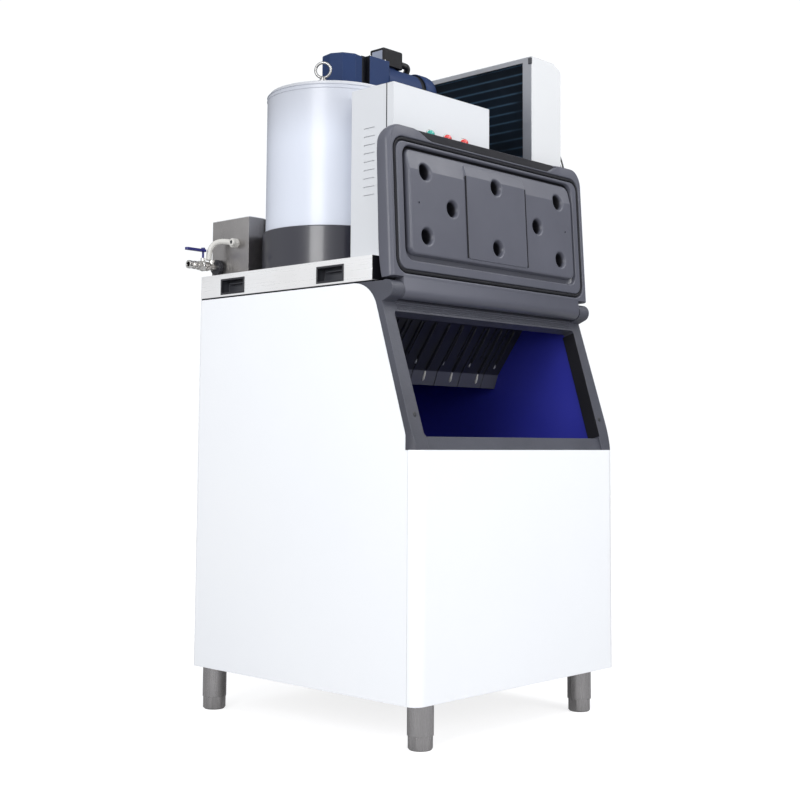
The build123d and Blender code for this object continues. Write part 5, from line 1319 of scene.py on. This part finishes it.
# %% A dark block on the coil's frame and a blank plate on the terminal box
# A small dark block darkens the top corner of the coil's frame.
dark_block = Shape().box((216.8, -243.5, 1684.0), (221.0, -232.0, 1701.0), soft=0.8)
piece("coil_frame_dark_block", dark_block, SLOT_GREY)
plate = Shape().box((-41.1, 60.0, 1694.0), (-40.2, 98.0, 1725.0), soft=0.3)
piece("terminal_plate", plate, PLATE_GREY)

# %% [markdown]
# A corrugated conduit leads from the terminal box to the control box. Its ribs could be a bump,
# but they show in its outline, so a rule sets small rings at equal steps along a path, over a
# plain tube. The path itself is a few corners joined by arcs.


# %% Rule: rings along a path
def path_rings():
    tree, take, give = rule("Path Rings", {"Step": 0.004, "Radius": 0.007, "Wire": 0.0013})
    chain = add(tree, "GeometryNodeMeshToCurve", [("Mesh", take["Geometry"])])
    places = add(tree, "GeometryNodeCurveToPoints", [("Curve", chain.outputs[0]),
                                                     ("Length", take["Step"])], mode="LENGTH")
    circle_line = add(tree, "GeometryNodeCurvePrimitiveCircle", [("Resolution", 20),
                                                                 ("Radius", take["Radius"])])
    section = add(tree, "GeometryNodeCurvePrimitiveCircle", [("Resolution", 6),
                                                             ("Radius", take["Wire"])])
    ring = add(tree, "GeometryNodeCurveToMesh", [("Curve", circle_line.outputs[0]),
                                                 ("Profile Curve", section.outputs[0])])
    row = add(tree, "GeometryNodeInstanceOnPoints", [("Points", places.outputs["Points"]),
                                                     ("Instance", ring.outputs[0]),
                                                     ("Rotation", places.outputs["Rotation"])])
    return close_rule(tree, take, give, row.outputs[0])


# %% The conduit's path, its tube and its rings
def rounded_path(corners, radii, step=0.12):
    """The corners joined by arcs, as points."""
    line = [corners[0]]
    for before, corner, after, radius in zip(corners, corners[1:], corners[2:], radii):
        back, ahead = (before - corner).normalized(), (after - corner).normalized()
        half = back.angle(ahead) / 2
        reach = radius / math.tan(half)
        centre = corner + (back + ahead).normalized() * (radius / math.sin(half))
        first, last = corner + back * reach - centre, corner + ahead * reach - centre
        sweep = first.angle(last)
        count = max(int(sweep / step), 2)
        for k in range(count + 1):
            share = k / count
            line.append(centre + (first * math.sin((1 - share) * sweep)
                                  + last * math.sin(share * sweep)) / math.sin(sweep))
    return line + [corners[-1]]


CONDUIT = rounded_path([at(46.5, 82, 1708.5), at(90.0, 84, 1708.5), at(104.0, 160.0, 1640.0),
                        at(140.5, 156.5, 1456.75), at(19.0, 22.0, 1376.75),
                        at(19.0, -103.0, 1376.75)], [20 * MM, 24 * MM, 60 * MM, 55 * MM])
wires("conduit_tube", [CONDUIT], 0.0074, 16, CAN_BLACK, "box_black", replaced=("motor_conduit",))
conduit_points, conduit_edges = chains([CONDUIT])
grow("conduit_rings", path_rings(), conduit_points,
     {"Step": 0.0038, "Radius": 0.0078, "Wire": 0.0012}, CAN_BLACK, "box_black",
     edges=conduit_edges)
print("conduit path of", len(CONDUIT), "points")

# %% [markdown]
# Small screws hold the covers. The rule puts the same head on every point of its start mesh and
# turns it to face one way, so a new row of screws needs no more than a line in a table.


# %% Rule: screws on the start mesh's points
def screw_rule():
    """A low head with a cone for a crown, turned to face one direction."""
    tree, take, give = rule("Screws", {"Radius": 0.004, "Height": 0.0025, "Facing": (0, 0, 1)})
    head = add(tree, "GeometryNodeMeshCylinder", [("Vertices", 18), ("Radius", take["Radius"]),
                                                  ("Depth", take["Height"])])
    crown = add(tree, "GeometryNodeMeshCone",
                [("Vertices", 18), ("Radius Top", figure(tree, "MULTIPLY", take["Radius"], 0.78)),
                 ("Radius Bottom", take["Radius"]),
                 ("Depth", figure(tree, "MULTIPLY", take["Height"], 1.5))])
    both = add(tree, "GeometryNodeJoinGeometry")
    tree.links.new(head.outputs["Mesh"], both.inputs[0])
    tree.links.new(crown.outputs["Mesh"], both.inputs[0])
    turn = add(tree, "FunctionNodeAlignRotationToVector", [("Vector", take["Facing"])], axis="Z")
    row = add(tree, "GeometryNodeInstanceOnPoints", [("Points", take["Geometry"]),
                                                     ("Instance", both.outputs[0]),
                                                     ("Rotation", turn.outputs[0])])
    return close_rule(tree, take, give, row.outputs[0])


# %% Screws: where each row faces, its head's radius and height in mm, and its x, y and z
SCREWS = screw_rule()
RIGHT, REARWARD, UPWARD = (1, 0, 0), (0, 1, 0), (0, 0, 1)
SCREW_ROWS = {
    "gear_face": (RIGHT, 4.2, 3.0, "gear_blue", [-41.0], [40.0, 124.0], [1578.0, 1679.0]),
    "gear_lid": (UPWARD, 3.4, 2.0, "gear_blue", [-107.0, -51.0], [40.0, 124.0], [1688.0]),
    "terminal_lid": (UPWARD, 2.6, 1.6, "box_black", [-32.0, 28.0], [64.0, 100.0], [1732.0]),
    "hood_rear": (REARWARD, 3.6, 2.0, "white_panel", [240.0, 325.0], [207.8],
                  [1125.0, 1400.0, 1670.0]),
    "hood_side": (RIGHT, 3.6, 2.0, "white_panel", [346.8], [-228.0, 192.0],
                  [1125.0, 1400.0, 1640.0]),
    "box_rear": (REARWARD, 3.4, 2.0, "control_white", [-296.0, 25.0], [-102.2],
                 [1122.0, 1315.0, 1508.0]),
    "back_panel": (REARWARD, 3.6, 2.0, "white_panel", [-355.0, 0.0, 355.0], [385.4],
                   [130.0, 580.0, 1020.0]),
    "tray": (UPWARD, 5.0, 3.5, "tray_steel", [-10.0, 180.0, 355.0], [-225.0, 360.0], [1106.6]),
}
for name, (facing, radius, height, slot, across, deep, high) in SCREW_ROWS.items():
    grow("screws_" + name, SCREWS, [at(x, y, z) for x in across for y in deep for z in high],
         {"Radius": radius * MM, "Height": height * MM, "Facing": facing}, NICKEL, slot)

# %% [markdown]
# ## Water fittings
# The valve ends in a barbed nipple; the tank's wall carries a ribbed plastic nut, and the hose
# ends in a white ring nut. Turned parts are lathe profiles; the ribbed nut alternates its radius.

# %% Nipple barbs, ring nut and its dark bore
VALVE_Y, VALVE_Z = 350, 1129
RING_NUT_Y, RING_NUT_Z = 275.4, 1187.5
barbs = Shape().lathe(at(-450.0, VALVE_Y, VALVE_Z), (1, 0, 0),
                      [(6.9, -0.2), (9.6, -0.2), (10.4, 1.0), (10.4, 3.2), (9.0, 4.6), (9.0, 6.4),
                       (10.2, 7.4), (10.2, 9.4), (9.0, 11.2), (9.0, 13.2), (10.2, 14.2),
                       (10.2, 16.2), (8.9, 18.4), (6.9, 18.4)], sides=36, close=False)
piece("nipple_barbs", barbs, NICKEL)
ring_nut = Shape().lathe(at(-372.0, RING_NUT_Y, RING_NUT_Z), (1, 0, 0),
                         [(5.0, 0), (8.4, 0), (9.8, 1.2), (9.8, 7.0), (8.6, 8.2), (8.0, 19.0),
                          (5.0, 19.0)], sides=36, close=False)
piece("hose_ring_nut", ring_nut, PALE_PLASTIC)
socket = Shape().lathe(at(-370.6, RING_NUT_Y, RING_NUT_Z), (1, 0, 0),
                       [(0.3, 0), (5.2, 0), (5.2, 15.0), (0.3, 15.0)])
piece("hose_ring_socket", socket, BASE_BLACK)

# %% [markdown]
# The hose leaves the tee upwards and bends over to the tank's wall. One smooth curve between
# four points gives the bend, and the rule of bars its round section.


# %% The hose, one smooth bend from the tee to the tank's wall
def swing(first, second, third, fourth, count=28):
    """Points of one smooth bend that leaves the first point for the second."""
    return [first * (1 - t) ** 3 + second * 3 * (1 - t) ** 2 * t
            + third * 3 * (1 - t) * t ** 2 + fourth * t ** 3
            for t in (k / count for k in range(count + 1))]


hose = swing(at(-384.0, 350.0, 1146.0), at(-384.0, 352.0, 1187.0), at(-366.0, 345.0, 1203.0),
             at(-362.5, 284.5, 1188.0))
wires("inlet_tube", [hose], 0.0074, 20, PALE_PLASTIC, "hose_grey", replaced=("inlet_hose",))

# %% [markdown]
# The nut on the tank's wall has twelve ribs to grip it by. A lathe can't give them, so its rings
# are laid point by point: three on a rib, three in the gap beside it.

# %% The ribbed nut on the tank's wall
RIB_COUNT, RIB_TOP, RIB_FOOT = 12, 20.6, 19.2
ribbed = Shape()
for start, wide in ((-362.4, 5.2), (-356.4, 5.6)):
    rings = []
    for off, add_on in ((0.0, -1.4), (0.8, 0.0), (wide - 0.8, 0.0), (wide, -1.4)):
        ring = []
        for k, turn in enumerate(turns(6 * RIB_COUNT)):
            radius = (RIB_TOP if k % 6 < 3 else RIB_FOOT) + add_on
            ring.append(at(start + off, VALVE_Y + radius * math.cos(turn),
                           VALVE_Z + radius * math.sin(turn)))
        rings.append(ring)
    ribbed.loops(rings)
piece("bulkhead_ribs", ribbed, BASE_BLACK)

# %% [markdown]
# ## Studio
# The photograph is a catalogue picture: white ground, one large soft light from the camera's
# side, and a darker right-hand side that gives the drum and the bright metal their shading. The
# Standard view keeps such a white really white. The world is a dome that is bright on the left
# and at the front and dim on the right. Of the four area lights, the key stands in front of the
# door, the side light on the left shades the drum, and two from above bring gloss.


# %% Floor
def studio_floor():
    """A pale ground that looks white to the camera and throws little light back."""
    mesh = bpy.data.meshes.new("studio_floor")
    reach = 12.0
    mesh.from_pydata([(-reach, -reach, 0), (reach, -reach, 0), (reach, reach, 0),
                      (-reach, reach, 0)], [], [(0, 1, 2, 3)])
    floor = put("studio_floor", mesh)
    pale = bpy.data.materials.new("pale floor")
    pale.use_nodes = True
    tree, shader = pale.node_tree, pale.node_tree.nodes["Principled BSDF"]
    for socket, value in (("Base Color", (0.42, 0.42, 0.43, 1)), ("Roughness", 0.9),
                          ("Specular IOR Level", 0.0), ("Emission Color", (1, 1, 1, 1))):
        shader.inputs[socket].default_value = value
    ray = add(tree, "ShaderNodeLightPath").outputs["Is Camera Ray"]
    tree.links.new(spread(tree, ray, 0.0, 1.0, 0.06, 0.78), shader.inputs["Emission Strength"])
    mesh.materials.append(pale)


studio_floor()

# %% World dome
scene = bpy.context.scene
scene.view_settings.view_transform = "Standard"
scene.world = bpy.data.worlds.new("studio")
scene.world.use_nodes = True
dome = scene.world.node_tree
sky = dome.nodes["Background"]
sky.inputs["Color"].default_value = (0.965, 0.98, 1.0, 1)
heading = add(dome, "ShaderNodeTexCoord").outputs["Generated"]
towards_light = add(dome, "ShaderNodeVectorMath", [(0, heading), (1, (-0.78, -0.42, 0.46))],
                    operation="DOT_PRODUCT").outputs["Value"]
glow = spread(dome, towards_light, -0.75, 0.55, 0.08, 0.9, smooth=True)
seen = add(dome, "ShaderNodeLightPath").outputs["Is Camera Ray"]
strength = add(dome, "ShaderNodeMix", [(0, seen), (2, glow), (3, 1.06)])
dome.links.new(strength.outputs[0], sky.inputs["Strength"])


# %% Area lights
def area_light(name, place, aim, size, power):
    data = bpy.data.lights.new(name, "AREA")
    data.shape = "RECTANGLE"
    data.size, data.size_y = size
    data.energy = power
    lamp = put(name, data)
    lamp.location = place
    lamp.rotation_euler = (Vector(aim) - Vector(place)).to_track_quat("-Z", "Y").to_euler()
    print(name, "light of", power, "W")


area_light("key", (0.1, -3.9, 1.7), (0, 0, 0.6), (1.5, 1.5), 41)
area_light("side", (-3.3, -1.2, 1.8), (0, 0, 0.8), (1.3, 1.8), 58)
area_light("gloss", (1.6, -1.9, 3.3), (-0.1, -0.3, 1.3), (1.6, 1.6), 36)
area_light("top", (-0.6, -1.6, 3.2), (0, 0, 1.2), (1.0, 1.0), 8)

# %% [markdown]
# ## Camera
# The camera stands where the photograph's did. Its place and lens were found by fitting the
# machine's straight edges; the picture's optical centre lies above its middle, which the
# lens shift reproduces.

# %% The photograph's camera
turn, tilt, roll = -0.8136, -0.0896, 0.0064
back = Vector((math.sin(turn) * math.cos(tilt), -math.cos(turn) * math.cos(tilt), math.sin(tilt)))
level = (-back).cross(Vector((0, 0, 1))).normalized()
above = level.cross(-back)
right = math.cos(roll) * level + math.sin(roll) * above
up = -math.sin(roll) * level + math.cos(roll) * above
lens = bpy.data.cameras.new("camera")
lens.lens, lens.sensor_width = 58.5, 36.0
lens.shift_y = -0.0928
lens.clip_end = 100.0
camera = put("camera", lens)
place = at(-2480.0, -2317.4, 676.5)
camera.matrix_world = Matrix(((right.x, up.x, back.x, place.x), (right.y, up.y, back.y, place.y),
                              (right.z, up.z, back.z, place.z), (0, 0, 0, 1)))
scene.camera = camera
print("camera at", tuple(round(value, 3) for value in place))
